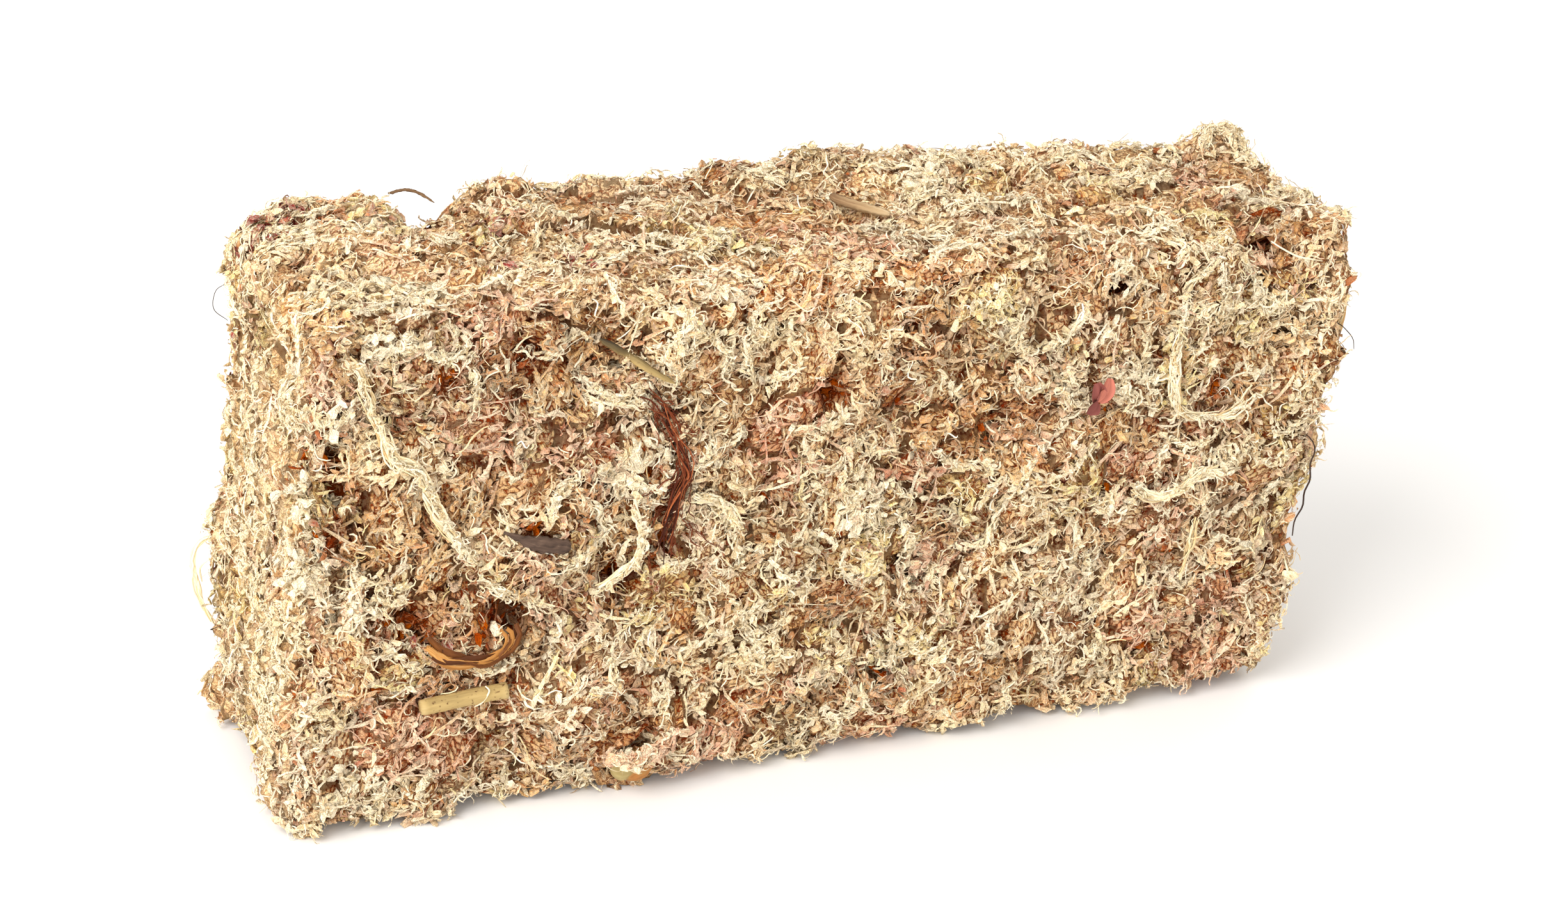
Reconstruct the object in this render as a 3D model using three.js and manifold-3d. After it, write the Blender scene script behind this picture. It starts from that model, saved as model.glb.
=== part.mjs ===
import Module from "manifold-3d";
import * as THREE from "three";
import { mergeVertices } from "three/addons/utils/BufferGeometryUtils.js";

const wasm = await Module();
wasm.setup();

// A pressed block of dried sphagnum moss that stands on its long narrow side, with the pieces
// of reed, bark, root and husk and the long stems that were pressed into it with the moss.
// Millimetres. X runs along the length, -Y is the broad front face, Z is up from the foot.

// Driving dimensions
const length = 185;
const thickness = 44;
const height = 92;
const edgeRadius = 3.6;

// Clearance between the moss and each piece that lies in it
const gap = 0.3;

// Facets of the block along its length, through its thickness and up its height
const facets = { along: 38, through: 12, up: 19 };

// Pads of pressed moss: they lie flat in layers that run along the front face
const pad = { size: new THREE.Vector3(15, 6.2, 13), height: 4.4, seed: 4 };
const tuft = { size: new THREE.Vector3(7.5, 4.2, 6.5), height: 2.2, seed: 11 };

// How far the moss surface lies inside the plain block, on average, before its pads are added
const sink = 4.1;

const colours = {
  moss: 0xcba878,
  strawStem: 0xe6d5a8,
  tanStem: 0xc9a574,
  reed: 0xc6ab6a,
  darkReed: 0x7f7560,
  root: 0x5f3218,
  bark: 0x4f3c2e,
  curledLeaf: 0xa9693a,
  husk: 0xb48c4e,
  russet: 0xa9604c,
  twig: 0x8c7a60,
  darkTwig: 0x4c3a2e,
};

// Broad lumps and hollows: where they lie, how wide they are and how far they rise
const lump = (x, y, z, radius, rise) => ({ centre: new THREE.Vector3(x, y, z), radius, rise });
const lumps = [
  lump(-77, 15, height, 10, 2.6),
  lump(-62, 19, height, 7, -5.4),
  lump(-47, 17, height, 8, 3.2),
  lump(-32, 20, height, 9, 0.8),
  lump(-8, 18, height, 12, 3.2),
  lump(12, 19, height, 12, 3.2),
  lump(35, 19, height, 13, 3.0),
  lump(56, 20, height, 10, 2.0),
  lump(77, 17, height, 6, -2.0),
  lump(85, 16, height, 6, 1.2),
  lump(6, 4, height, 5, -2.4),
  lump(-length / 2, 20, 42, 8, 1.0),
  lump(-length / 2, 20, 53, 7, -2.0),
  lump(-length / 2, 8, 66, 22, -1.2),
  lump(-length / 2, 8, 0, 9, -1.2),
  lump(-72, -thickness / 2, 3, 6, 2.4),
  lump(44, -thickness / 2, 0, 10, -1.0),
  lump(-12, -thickness / 2, 0, 16, 0.8),
  lump(62, -thickness / 2, 0, 11, -1.0),
  lump(82, -thickness / 2, 0, 11, -1.0),
  lump(length / 2, -18, 14, 9, 1.6),
  lump(length / 2, -18, 34, 7, -1.6),
  lump(length / 2, -18, 66, 8, 1.6),
  lump(length / 2, -2, height, 11, -0.6),
  lump(length / 2, -16, 50, 14, 1.2),
  lump(19, -thickness / 2, 88, 7, 1.4),
  lump(40, -thickness / 2, 70, 10, 1.2),
  lump(-50, -thickness / 2, 60, 12, 1.0),
  lump(-8, -thickness / 2, 66, 12, 1.2),
  lump(0, -thickness / 2, 34, 14, 1.0),
  lump(30, -thickness / 2, 22, 11, 1.0),
  lump(-45, -thickness / 2, 22, 10, 0.9),
];

// The middle of the foot is pressed flat over this much of the block's length and thickness
const flatFoot = { along: 0.62, through: 0.5, press: 4 };

// Open pits between the pads on the front: place, half width, half height, depth and lean in degrees
const pits = [
  { name: "leaf pit", x: -54.6, z: 34.8, wide: 2.4, high: 4.2, deep: 4.5, lean: 18 },
  { name: "pit by the split reed", x: -41.7, z: 78.6, wide: 1.9, high: 1.6, deep: 3.5, lean: 0 },
  { name: "upper crevice", x: -86.2, z: 67, wide: 1.7, high: 10.5, deep: 4, lean: 3 },
  { name: "lower crevice", x: -84.9, z: 46, wide: 1.6, high: 9.5, deep: 4, lean: 4 },
  { name: "lower middle pit", x: 11.3, z: 16.3, wide: 2.9, high: 2.2, deep: 4, lean: -20 },
  { name: "slit", x: 16.6, z: 33.7, wide: 1.3, high: 2.9, deep: 3.5, lean: 20 },
  { name: "corner hollow", x: 77.8, z: 88.6, wide: 4.6, high: 2, deep: 6, lean: 0 },
  { name: "upper hollow", x: 46.6, z: 84.8, wide: 2.6, high: 1.6, deep: 4, lean: -12 },
  { name: "side hollow", x: 80.8, z: 70.8, wide: 3, high: 1.5, deep: 4, lean: 6 },
  { name: "middle pit", x: 26.6, z: 58.3, wide: 2.4, high: 1.6, deep: 3.5, lean: -24 },
];

// The moss surface

const innerLow = new THREE.Vector3(edgeRadius - length / 2, edgeRadius - thickness / 2, edgeRadius);
const innerHigh = new THREE.Vector3(length / 2 - edgeRadius, thickness / 2 - edgeRadius, height - edgeRadius);

// A number between 0 and 1 that is always the same for the same cell
function cellChance(i, j, k, seed) {
  const wave = Math.sin(i * 127.1 + j * 311.7 + k * 74.7 + seed * 53.3) * 43758.5453;
  return wave - Math.floor(wave);
}

// Height of domed pads at a point: near 1 in the middle of a pad, low in the creases between
function padRise(at, { size, seed }) {
  const cell = at.clone().divide(size);
  const [i, j, k] = cell.toArray().map(Math.floor);
  let best = 0;
  for (let a = i - 1; a <= i + 1; a += 1) {
    for (let b = j - 1; b <= j + 1; b += 1) {
      for (let c = k - 1; c <= k + 1; c += 1) {
        const middle = new THREE.Vector3(
          a + cellChance(a, b, c, seed),
          b + cellChance(b, c, a, seed + 1),
          c + cellChance(c, a, b, seed + 2),
        );
        const dome = 1 - middle.distanceToSquared(cell);
        best = Math.max(best, dome * (0.65 + 0.35 * cellChance(a, c, b, seed + 3)));
      }
    }
  }
  return best;
}

// How far the moss stands out of the plain block at a point of its surface
function relief(at) {
  let rise = pad.height * padRise(at, pad) + tuft.height * padRise(at, tuft) - sink;
  for (const { centre, radius, rise: peak } of lumps) {
    const away = at.distanceTo(centre) / radius;
    rise += peak * Math.exp(-away * away);
  }
  return rise;
}

// True where the foot is pressed flat on what it stands on
function isPressed(at) {
  const along = Math.abs(at.x) / (length / 2);
  const through = Math.abs(at.y) / (thickness / 2);
  return at.z < edgeRadius / 2 && along < flatFoot.along && through < flatFoot.through;
}

// The point of the moss above or below a point of the block's plain faces
function mossPoint(point, lift = 0) {
  const inner = point.clone().clamp(innerLow, innerHigh);
  const out = point.clone().sub(inner).normalize();
  const base = inner.clone().addScaledVector(out, edgeRadius);
  const press = isPressed(base) ? flatFoot.press : 0;
  const place = base.clone().addScaledVector(out, relief(base) + press + lift);
  place.z = Math.max(place.z, 0);
  return { place, out };
}

// Points of the moss surface named by their place on the front, the top or an end
const onFront = (x, z, lift = 0) => mossPoint(new THREE.Vector3(x, -thickness / 2, z), lift);
const onTop = (x, y, lift = 0) => mossPoint(new THREE.Vector3(x, y, height), lift);

function blockGeometry() {
  const { along, through, up } = facets;
  const geometry = new THREE.BoxGeometry(length, thickness, height, along, through, up);
  geometry.translate(0, 0, height / 2);
  const places = geometry.attributes.position;
  const point = new THREE.Vector3();
  for (let i = 0; i < places.count; i += 1) {
    point.fromBufferAttribute(places, i);
    places.setXYZ(i, ...mossPoint(point).place.toArray());
  }
  return geometry;
}

// Solids: only to cut grooves and pits

function toSolid(geometry) {
  const plain = geometry.clone();
  plain.deleteAttribute("normal");
  plain.deleteAttribute("uv");
  const merged = mergeVertices(plain, 1e-4);
  return new wasm.Manifold(new wasm.Mesh({
    numProp: 3,
    vertProperties: new Float32Array(merged.attributes.position.array),
    triVerts: new Uint32Array(merged.index.array),
  }));
}

function toGeometry(solid) {
  const { vertProperties, triVerts } = solid.getMesh();
  const geometry = new THREE.BufferGeometry();
  geometry.setAttribute("position", new THREE.BufferAttribute(vertProperties, 3));
  geometry.setIndex(new THREE.BufferAttribute(triVerts, 1));
  geometry.computeVertexNormals();
  return geometry;
}

// The largest body that a cut leaves, so that no crumb is left loose
function largestBody(solid) {
  return solid.decompose().reduce((most, body) => (body.volume() > most.volume() ? body : most));
}

// Long pieces: a strand follows spots on the moss, with its flat side along the surface

const evenWidth = () => 1;
const slimTips = (t) => 0.35 + 0.65 * Math.sin(Math.PI * Math.min(Math.max(t, 0.06), 0.94)) ** 0.5;
const oneSlimTip = (t) => 1 - 0.55 * t ** 1.4;
const leafWidth = (t) => 0.2 + 0.8 * Math.sin(Math.PI * (0.06 + 0.88 * t)) ** 0.8;

function strandGeometry({ spots, wide, thick, sides = 6, steps = 8, shape = evenWidth }, grow = 0) {
  // The groove for a strand has a square section that just holds the strand's round one
  const route = new THREE.CatmullRomCurve3(spots.map(({ place }) => place));
  const outs = new THREE.CatmullRomCurve3(spots.map(({ out }) => out));
  const geometry = grow > 0
    ? new THREE.CylinderGeometry(Math.SQRT2, Math.SQRT2, 1, 4, steps, false, Math.PI / 4)
    : new THREE.CylinderGeometry(1, 1, 1, sides, steps);
  const places = geometry.attributes.position;
  const local = new THREE.Vector3();
  for (let i = 0; i < places.count; i += 1) {
    local.fromBufferAttribute(places, i);
    const t = THREE.MathUtils.clamp(local.y + 0.5, 0, 1);
    const along = route.getTangent(t);
    const across = new THREE.Vector3().crossVectors(along, outs.getPoint(t)).normalize();
    const out = new THREE.Vector3().crossVectors(across, along);
    const width = (wide / 2) * shape(t) + grow;
    const depth = (thick / 2) * shape(t) + grow;
    const place = route.getPoint(t);
    place.addScaledVector(across, local.x * width).addScaledVector(out, local.z * depth);
    place.addScaledVector(along, Math.sign(Math.round(2 * local.y)) * (Math.abs(local.y) > 0.49 ? grow : 0));
    places.setXYZ(i, ...place.toArray());
  }
  return geometry;
}

const frontStrand = (points, lift) => points.map(([x, z]) => onFront(x, z, lift));
const topStrand = (points, lift) => points.map(([x, y]) => onTop(x, y, lift));

// A spot that stands free of the moss, for a loop or a twig that bridges a gap
const free = (x, y, z, out) => ({ place: new THREE.Vector3(x, y, z), out: new THREE.Vector3(...out) });

const strands = {
  pale_stem_left: {
    spots: frontStrand([[-87.4, 86], [-85.1, 84], [-80.3, 73.9], [-77.8, 67.7], [-74.6, 66.1],
      [-70.9, 59.2], [-66.6, 52.2], [-62.4, 47.4]], 0.3),
    wide: 1.7, thick: 1.2, steps: 11, shape: slimTips, colour: colours.strawStem,
  },
  pale_stem_right: {
    spots: frontStrand([[58.9, 77.3], [59.5, 67.6], [60.8, 60], [67.1, 58.7], [72.1, 57.5],
      [77.6, 60.9]], 0.3),
    wide: 1.7, thick: 1.2, steps: 9, shape: slimTips, colour: colours.strawStem,
  },
  pale_stem_low: {
    spots: frontStrand([[54.1, 46.9], [58.9, 43.9], [64.6, 44.9], [69, 47.9], [73.4, 46.8]], 0.3),
    wide: 1.4, thick: 1.0, steps: 7, shape: slimTips, colour: colours.strawStem,
  },
  pale_stem_drop: {
    spots: frontStrand([[68.7, 39], [68.2, 31.9], [67.9, 26.4]], 0.3),
    wide: 1.5, thick: 1.0, steps: 4, shape: slimTips, colour: colours.tanStem,
  },
  pale_stem_middle: {
    spots: frontStrand([[-27.5, 55.1], [-22, 53.2], [-17.4, 47.7]], 0.3),
    wide: 1.4, thick: 1.0, steps: 4, shape: slimTips, colour: colours.strawStem,
  },
  arc_stem: {
    spots: frontStrand([[-38.3, 55.5], [-35.4, 49.8], [-36.2, 44.4], [-42, 39.7]], 0.35),
    wide: 1.1, thick: 0.9, steps: 7, shape: slimTips, colour: colours.strawStem,
  },
  split_reed: {
    spots: frontStrand([[-45.3, 84.4], [-39, 80.3], [-32.6, 76.3]], 0.4),
    wide: 1.8, thick: 1.3, steps: 3, colour: colours.darkReed,
  },
  root_strip: {
    spots: frontStrand([[-38, 75.5], [-33.9, 71.1], [-31.4, 67.3], [-28.5, 60.3], [-29.3, 56.9],
      [-30.3, 52.6], [-31.1, 46.7], [-31.6, 43.3]], 0.1),
    wide: 2.2, thick: 1.1, steps: 10, shape: slimTips, colour: colours.root,
  },
  curled_leaf: {
    spots: frontStrand([[-71.1, 34.7], [-67.6, 31.6], [-63.7, 30.1], [-59.6, 30], [-56, 32.8],
      [-56.7, 35.3]], 0.5),
    wide: 2.5, thick: 0.9, steps: 9, shape: leafWidth, colour: colours.curledLeaf,
  },
  russet_flake: {
    spots: frontStrand([[43.2, 61.8], [44.2, 65.2], [46.6, 69.1]], 0.3),
    wide: 5.6, thick: 1.2, steps: 5, shape: leafWidth, colour: colours.russet,
  },
  side_twig: {
    spots: frontStrand([[72.3, 39.8], [77.1, 42.1]], 0.3),
    wide: 0.9, thick: 0.9, steps: 2, colour: colours.darkTwig,
  },
  top_twig: {
    spots: topStrand([[5.4, 5.2], [8.2, 0.6], [11.9, -4.2]], 0.5),
    wide: 2.6, thick: 1.6, steps: 5, shape: oneSlimTip, colour: colours.twig,
  },
  notch_twig: {
    spots: [
      free(-68.2, 20.6, 91.2, [0, 0, 1]),
      free(-65.0, 20.4, 92.3, [0, 0, 1]),
      free(-61.4, 19.6, 91.6, [0, 0, 1]),
      free(-57.4, 18.2, 89.6, [0, 0, 1]),
    ],
    wide: 1.0, thick: 0.9, steps: 6, shape: slimTips, colour: colours.darkTwig,
  },
  left_loop: {
    spots: [
      free(-91.4, 19.5, 34.5, [0, 1, 0]),
      free(-94.6, 20.6, 34.2, [0, 1, 0]),
      free(-96.2, 20.9, 31.4, [0, 1, 0]),
      free(-95.6, 20.7, 26.8, [0, 1, 0]),
      free(-94.2, 20.2, 22.6, [0, 1, 0]),
      free(-92.6, 19.6, 20.0, [0, 1, 0]),
      free(-90.2, 18.4, 18.2, [0, 1, 0]),
    ],
    wide: 1.5, thick: 0.9, steps: 14, shape: slimTips, colour: colours.tanStem,
  },
  right_loop: {
    spots: [
      free(90.4, -17.2, 79.8, [0, -1, 0]),
      free(93.6, -17.6, 77.6, [0, -1, 0]),
      free(95.0, -17.8, 72.6, [0, -1, 0]),
      free(94.0, -17.6, 67.6, [0, -1, 0]),
      free(90.6, -17.2, 64.6, [0, -1, 0]),
    ],
    wide: 2.2, thick: 1.7, steps: 12, shape: slimTips, colour: colours.tanStem,
  },
};

// Short pieces: a reed stub with an open end, a flat chip of bark and a domed seed husk

const reed = { from: onFront(-71, 23.1, 0.2), to: onFront(-56.6, 24.1, 0.9), radius: 1.35, bore: 0.75, boreDepth: 5 };
const bark = { from: onFront(-56.6, 51, 0.2), to: onFront(-48.5, 48.4, 0.2), high: 2.7, thick: 1.3 };
const husk = { at: new THREE.Vector3(-32.6, -21.2, 5.2), half: new THREE.Vector3(3.9, 2.6, 3.5), facets: 2 };

// Lays a piece made along +Y, with its outer side along +Z, between two spots on the moss
function layBetween(geometry, { from, to }) {
  const along = to.place.clone().sub(from.place).normalize();
  const side = new THREE.Vector3().crossVectors(along, from.out).normalize();
  const out = new THREE.Vector3().crossVectors(side, along);
  geometry.applyMatrix4(new THREE.Matrix4().makeBasis(side, along, out));
  const middle = from.place.clone().add(to.place).multiplyScalar(0.5);
  return geometry.translate(...middle.toArray());
}

function reedGeometry(grow = 0) {
  const halfLength = reed.from.place.distanceTo(reed.to.place) / 2;
  const radius = reed.radius + grow;
  const profile = [[0, -halfLength - grow], [radius, -halfLength - grow], [radius, halfLength + grow]];
  if (grow === 0) {
    profile.push([reed.bore, halfLength], [reed.bore, halfLength - reed.boreDepth], [0, halfLength - reed.boreDepth]);
  } else {
    profile.push([0, halfLength + grow]);
  }
  const sides = 10;
  const points = profile.map(([x, y]) => new THREE.Vector2(x, y));
  return layBetween(new THREE.LatheGeometry(points, sides), reed);
}

function barkGeometry(grow = 0) {
  const halfLength = bark.from.place.distanceTo(bark.to.place) / 2;
  const outline = [[-0.5, -1], [0.34, -0.94], [0.52, -0.5], [0.4, 0.1], [0.5, 0.66], [0.1, 1], [-0.36, 0.84], [-0.54, 0.2]];
  const shape = new THREE.Shape(outline.map(([x, y]) => new THREE.Vector2(
    x * bark.high + Math.sign(x) * grow,
    y * halfLength + Math.sign(y) * grow,
  )));
  const depth = bark.thick + 2 * grow;
  const geometry = new THREE.ExtrudeGeometry(shape, { depth, bevelEnabled: false });
  geometry.translate(0, 0, -depth / 2);
  return layBetween(geometry, bark);
}

function huskGeometry(grow = 0) {
  const geometry = new THREE.IcosahedronGeometry(1, husk.facets);
  const { x, y, z } = husk.half;
  geometry.scale(x + grow, y + grow, z + grow);
  return geometry.translate(...husk.at.toArray());
}

// A pit is a lens pushed into the front face
function pitGeometry({ x, z, wide, high, deep, lean }) {
  const geometry = new THREE.OctahedronGeometry(1, 1);
  geometry.scale(wide, deep, high);
  geometry.rotateY(THREE.MathUtils.degToRad(lean));
  return geometry.translate(...onFront(x, z).place.toArray());
}

const pieces = [
  ...Object.entries(strands).map(([name, strand]) => ({
    name,
    colour: strand.colour,
    make: (grow) => strandGeometry(strand, grow),
  })),
  { name: "reed_stub", colour: colours.reed, make: reedGeometry },
  { name: "bark_chip", colour: colours.bark, make: barkGeometry },
  { name: "seed_husk", colour: colours.husk, make: huskGeometry },
];

function mossGeometry() {
  let moss = toSolid(blockGeometry());
  for (const pit of pits) {
    moss = moss.subtract(toSolid(pitGeometry(pit)));
  }
  for (const { make } of pieces) {
    moss = moss.subtract(toSolid(make(gap)));
  }
  return toGeometry(largestBody(moss));
}

function addPiece(group, name, geometry, colour, roughness = 0.9) {
  const material = new THREE.MeshStandardMaterial({ color: colour, roughness, metalness: 0 });
  const mesh = new THREE.Mesh(geometry, material);
  mesh.name = name;
  group.add(mesh);
}

const block = new THREE.Group();
addPiece(block, "moss_block", mossGeometry(), colours.moss);
for (const { name, colour, make } of pieces) {
  addPiece(block, name, make(0), colour);
}

// The origin is the bottom centre of the whole piece, loops and tufts included
const outer = new THREE.Box3().setFromObject(block);
const middle = outer.getCenter(new THREE.Vector3());
block.position.set(-middle.x, -middle.y, -outer.min.z);

const dried_moss = new THREE.Group();
dried_moss.add(block);

export default dried_moss;
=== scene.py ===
import math

import bpy
import numpy as np
from mathutils import Matrix, Vector
from mathutils.bvhtree import BVHTree


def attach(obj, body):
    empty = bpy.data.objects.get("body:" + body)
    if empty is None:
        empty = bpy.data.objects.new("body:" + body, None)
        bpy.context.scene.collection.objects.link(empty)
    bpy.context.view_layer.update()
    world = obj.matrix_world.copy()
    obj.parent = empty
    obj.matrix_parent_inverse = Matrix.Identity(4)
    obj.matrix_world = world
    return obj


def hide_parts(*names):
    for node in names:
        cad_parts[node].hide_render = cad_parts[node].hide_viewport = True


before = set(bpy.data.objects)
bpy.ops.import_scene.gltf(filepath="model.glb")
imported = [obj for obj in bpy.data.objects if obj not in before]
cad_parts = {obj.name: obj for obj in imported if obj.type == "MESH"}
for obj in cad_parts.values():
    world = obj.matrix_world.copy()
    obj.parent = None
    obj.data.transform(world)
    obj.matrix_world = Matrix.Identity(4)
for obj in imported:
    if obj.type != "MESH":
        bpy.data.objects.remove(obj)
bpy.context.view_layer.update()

mm = 0.001
rng = np.random.default_rng(2457)

blockShift = np.array([0.47, 0.08, 0.0]) * mm  # where the middle of the plain block lies in the frame
floorGap = 0.02 * mm  # the lowest that any moss comes

cameraPlace = {
    "azimuth": -27.61,  # degrees, to the left of the front
    "elevation": 27.232,
    "roll": 6.635,
    "distance": 617.9 * mm,
    "target": np.array([-0.09, 0, 47.08]) * mm,
    "focalPixels": 5769,
    "imageWide": 2450,
    "sensor": 36.0,
}


def makeCamera(place):
    turn, lift = math.radians(place["azimuth"]), math.radians(place["elevation"])
    back = Vector((math.sin(turn) * math.cos(lift), -math.cos(turn) * math.cos(lift), math.sin(lift)))
    right = Vector((0, 0, 1)).cross(back).normalized()
    up = back.cross(right)
    roll = math.radians(place["roll"])
    rolledRight = right * math.cos(roll) + up * math.sin(roll)
    rolledUp = up * math.cos(roll) - right * math.sin(roll)
    data = bpy.data.cameras.new("camera")
    data.sensor_width = place["sensor"]
    data.lens = place["sensor"] * place["focalPixels"] / place["imageWide"]
    data.clip_start = 0.01
    camera = bpy.data.objects.new("camera", data)
    bpy.context.scene.collection.objects.link(camera)
    axes = Matrix((rolledRight, rolledUp, back)).transposed()
    camera.matrix_world = axes.to_4x4()
    camera.location = Vector(place["target"] + blockShift) + back * place["distance"]
    bpy.context.scene.camera = camera


makeCamera(cameraPlace)

# Studio: a white floor, a white sky, a large soft light from the left and a weak one from the front
studio = {
    "floorSize": 6.0,
    "floorColour": (0.905, 0.893, 0.88),
    "skyColour": (1.0, 0.982, 0.95),
    "skyStrength": 0.915,
    "lamps": {  # watts, size and place
        "key": (40, 1.2, (-1.45, -0.68, 1.36)),
        "fill": (5, 1.2, (-0.5, -1.5, 0.6)),
    },
    "lampAim": (0, 0, 0.04),
}


def makeLamp(name, watts, size, place, aim):
    data = bpy.data.lights.new(name, "AREA")
    data.energy = watts
    data.size = size
    lamp = bpy.data.objects.new(name, data)
    lamp.location = place
    lamp.rotation_mode = "QUATERNION"
    lamp.rotation_quaternion = (Vector(aim) - Vector(place)).to_track_quat("-Z", "Y")
    bpy.context.scene.collection.objects.link(lamp)


def makeStudio(settings):
    world = bpy.data.worlds.new("white sky")
    world.use_nodes = True
    sky = world.node_tree.nodes["Background"]
    sky.inputs["Color"].default_value = (*settings["skyColour"], 1)
    sky.inputs["Strength"].default_value = settings["skyStrength"]
    bpy.context.scene.world = world
    half = settings["floorSize"] / 2
    mesh = bpy.data.meshes.new("floor")
    corners = [(-half, -half, 0), (half, -half, 0), (half, half, 0), (-half, half, 0)]
    mesh.from_pydata(corners, [], [(0, 1, 2, 3)])
    floor = bpy.data.objects.new("floor", mesh)
    bpy.context.scene.collection.objects.link(floor)
    look = Look("white paper floor")
    look.feed("Base Color", (*settings["floorColour"], 1))
    look.feed("Roughness", 0.6)
    look.wear(floor)
    for name, lamp in settings["lamps"].items():
        makeLamp(name, *lamp, settings["lampAim"])
    bpy.context.scene.view_settings.view_transform = "Standard"


class Value:  # one output socket: sums on it add Math nodes
    def __init__(self, look, socket):
        self.look = look
        self.socket = socket

    def sum(self, operation, first, second):
        return self.look.node("ShaderNodeMath", {"operation": operation}, {0: first, 1: second})

    def __add__(self, other):
        return self.sum("ADD", self, other)

    def __radd__(self, other):
        return self.sum("ADD", other, self)

    def __sub__(self, other):
        return self.sum("SUBTRACT", self, other)

    def __rsub__(self, other):
        return self.sum("SUBTRACT", other, self)

    def __mul__(self, other):
        return self.sum("MULTIPLY", self, other)

    def __rmul__(self, other):
        return self.sum("MULTIPLY", other, self)

    def held(self):  # kept between 0 and 1
        settings = {"operation": "ADD", "use_clamp": True}
        return self.look.node("ShaderNodeMath", settings, {0: self, 1: 0.0})


class Look:  # one material and the nodes that colour it
    def __init__(self, name):
        self.material = bpy.data.materials.new(name)
        self.material.use_nodes = True
        self.tree = self.material.node_tree
        self.shader = next(node for node in self.tree.nodes if node.type == "BSDF_PRINCIPLED")

    def join(self, socket, value):
        if isinstance(value, Value):
            self.tree.links.new(value.socket, socket)
        else:
            socket.default_value = value

    def feed(self, name, value):
        self.join(self.shader.inputs[name], value)

    def node(self, kind, settings=None, inputs=None, output=0):
        made = self.tree.nodes.new(kind)
        for name, value in (settings or {}).items():
            if name == "stops":
                self.setStops(made.color_ramp, value)
            else:
                setattr(made, name, value)
        for key, value in (inputs or {}).items():
            self.join(made.inputs[key], value)
        return Value(self, made.outputs[output])

    def setStops(self, ramp, stops):
        while len(ramp.elements) > 1:
            ramp.elements.remove(ramp.elements[-1])
        ramp.elements[0].position = stops[0][0]
        ramp.elements[0].color = paint(stops[0][1])
        for place, colour in stops[1:]:
            ramp.elements.new(place).color = paint(colour)

    def attribute(self, name):
        return self.node("ShaderNodeAttribute", {"attribute_name": name}, output=2)

    def places(self):
        return self.node("ShaderNodeTexCoord", output=3)

    def noise(self, scale, detail=2.0, where=None):
        inputs = {"Vector": where or self.places(), "Scale": scale, "Detail": detail}
        return self.node("ShaderNodeTexNoise", {}, inputs)

    def noiseColour(self, scale):
        inputs = {"Vector": self.places(), "Scale": scale}
        return self.node("ShaderNodeTexNoise", {}, inputs, output=1)

    def vector(self, x, y, z):
        return self.node("ShaderNodeCombineXYZ", {}, {0: x, 1: y, 2: z})

    def scaled(self, vector, scale):
        return self.node("ShaderNodeVectorMath", {"operation": "SCALE"}, {0: vector, "Scale": scale})

    def ramp(self, factor, stops):
        return self.node("ShaderNodeValToRGB", {"stops": stops}, {0: factor})

    def mix(self, factor, first, second, blend="MIX"):
        settings = {"data_type": "RGBA", "blend_type": blend}
        return self.node("ShaderNodeMix", settings, {0: factor, 6: first, 7: second}, output=2)

    def tinted(self, share, colour, tint):  # the tint laid over a share of the colour
        return self.mix(share, colour, self.mix(1.0, colour, paint(tint), "MULTIPLY"))

    def lit(self, colour, light):  # the colour made paler or darker
        return self.mix(1.0, colour, self.vector(light, light, light), "MULTIPLY")

    def threads(self, noise, thinness):  # bent thin lines, where a noise passes its middle
        away = self.node("ShaderNodeMath", {"operation": "ABSOLUTE"}, {0: noise - 0.5})
        return (1 - thinness * away).held()

    def bump(self, height, strength, distance):
        inputs = {"Height": height, "Strength": strength, "Distance": distance}
        self.feed("Normal", self.node("ShaderNodeBump", {}, inputs))

    def wear(self, piece):
        piece.data.materials.append(self.material)


def paint(colour):  # 0 to 255 as seen, to the linear light that the nodes count in
    return (*[(c / 255) ** 2.2 for c in colour], 1)


makeStudio(studio)
print("studio ready")


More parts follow.
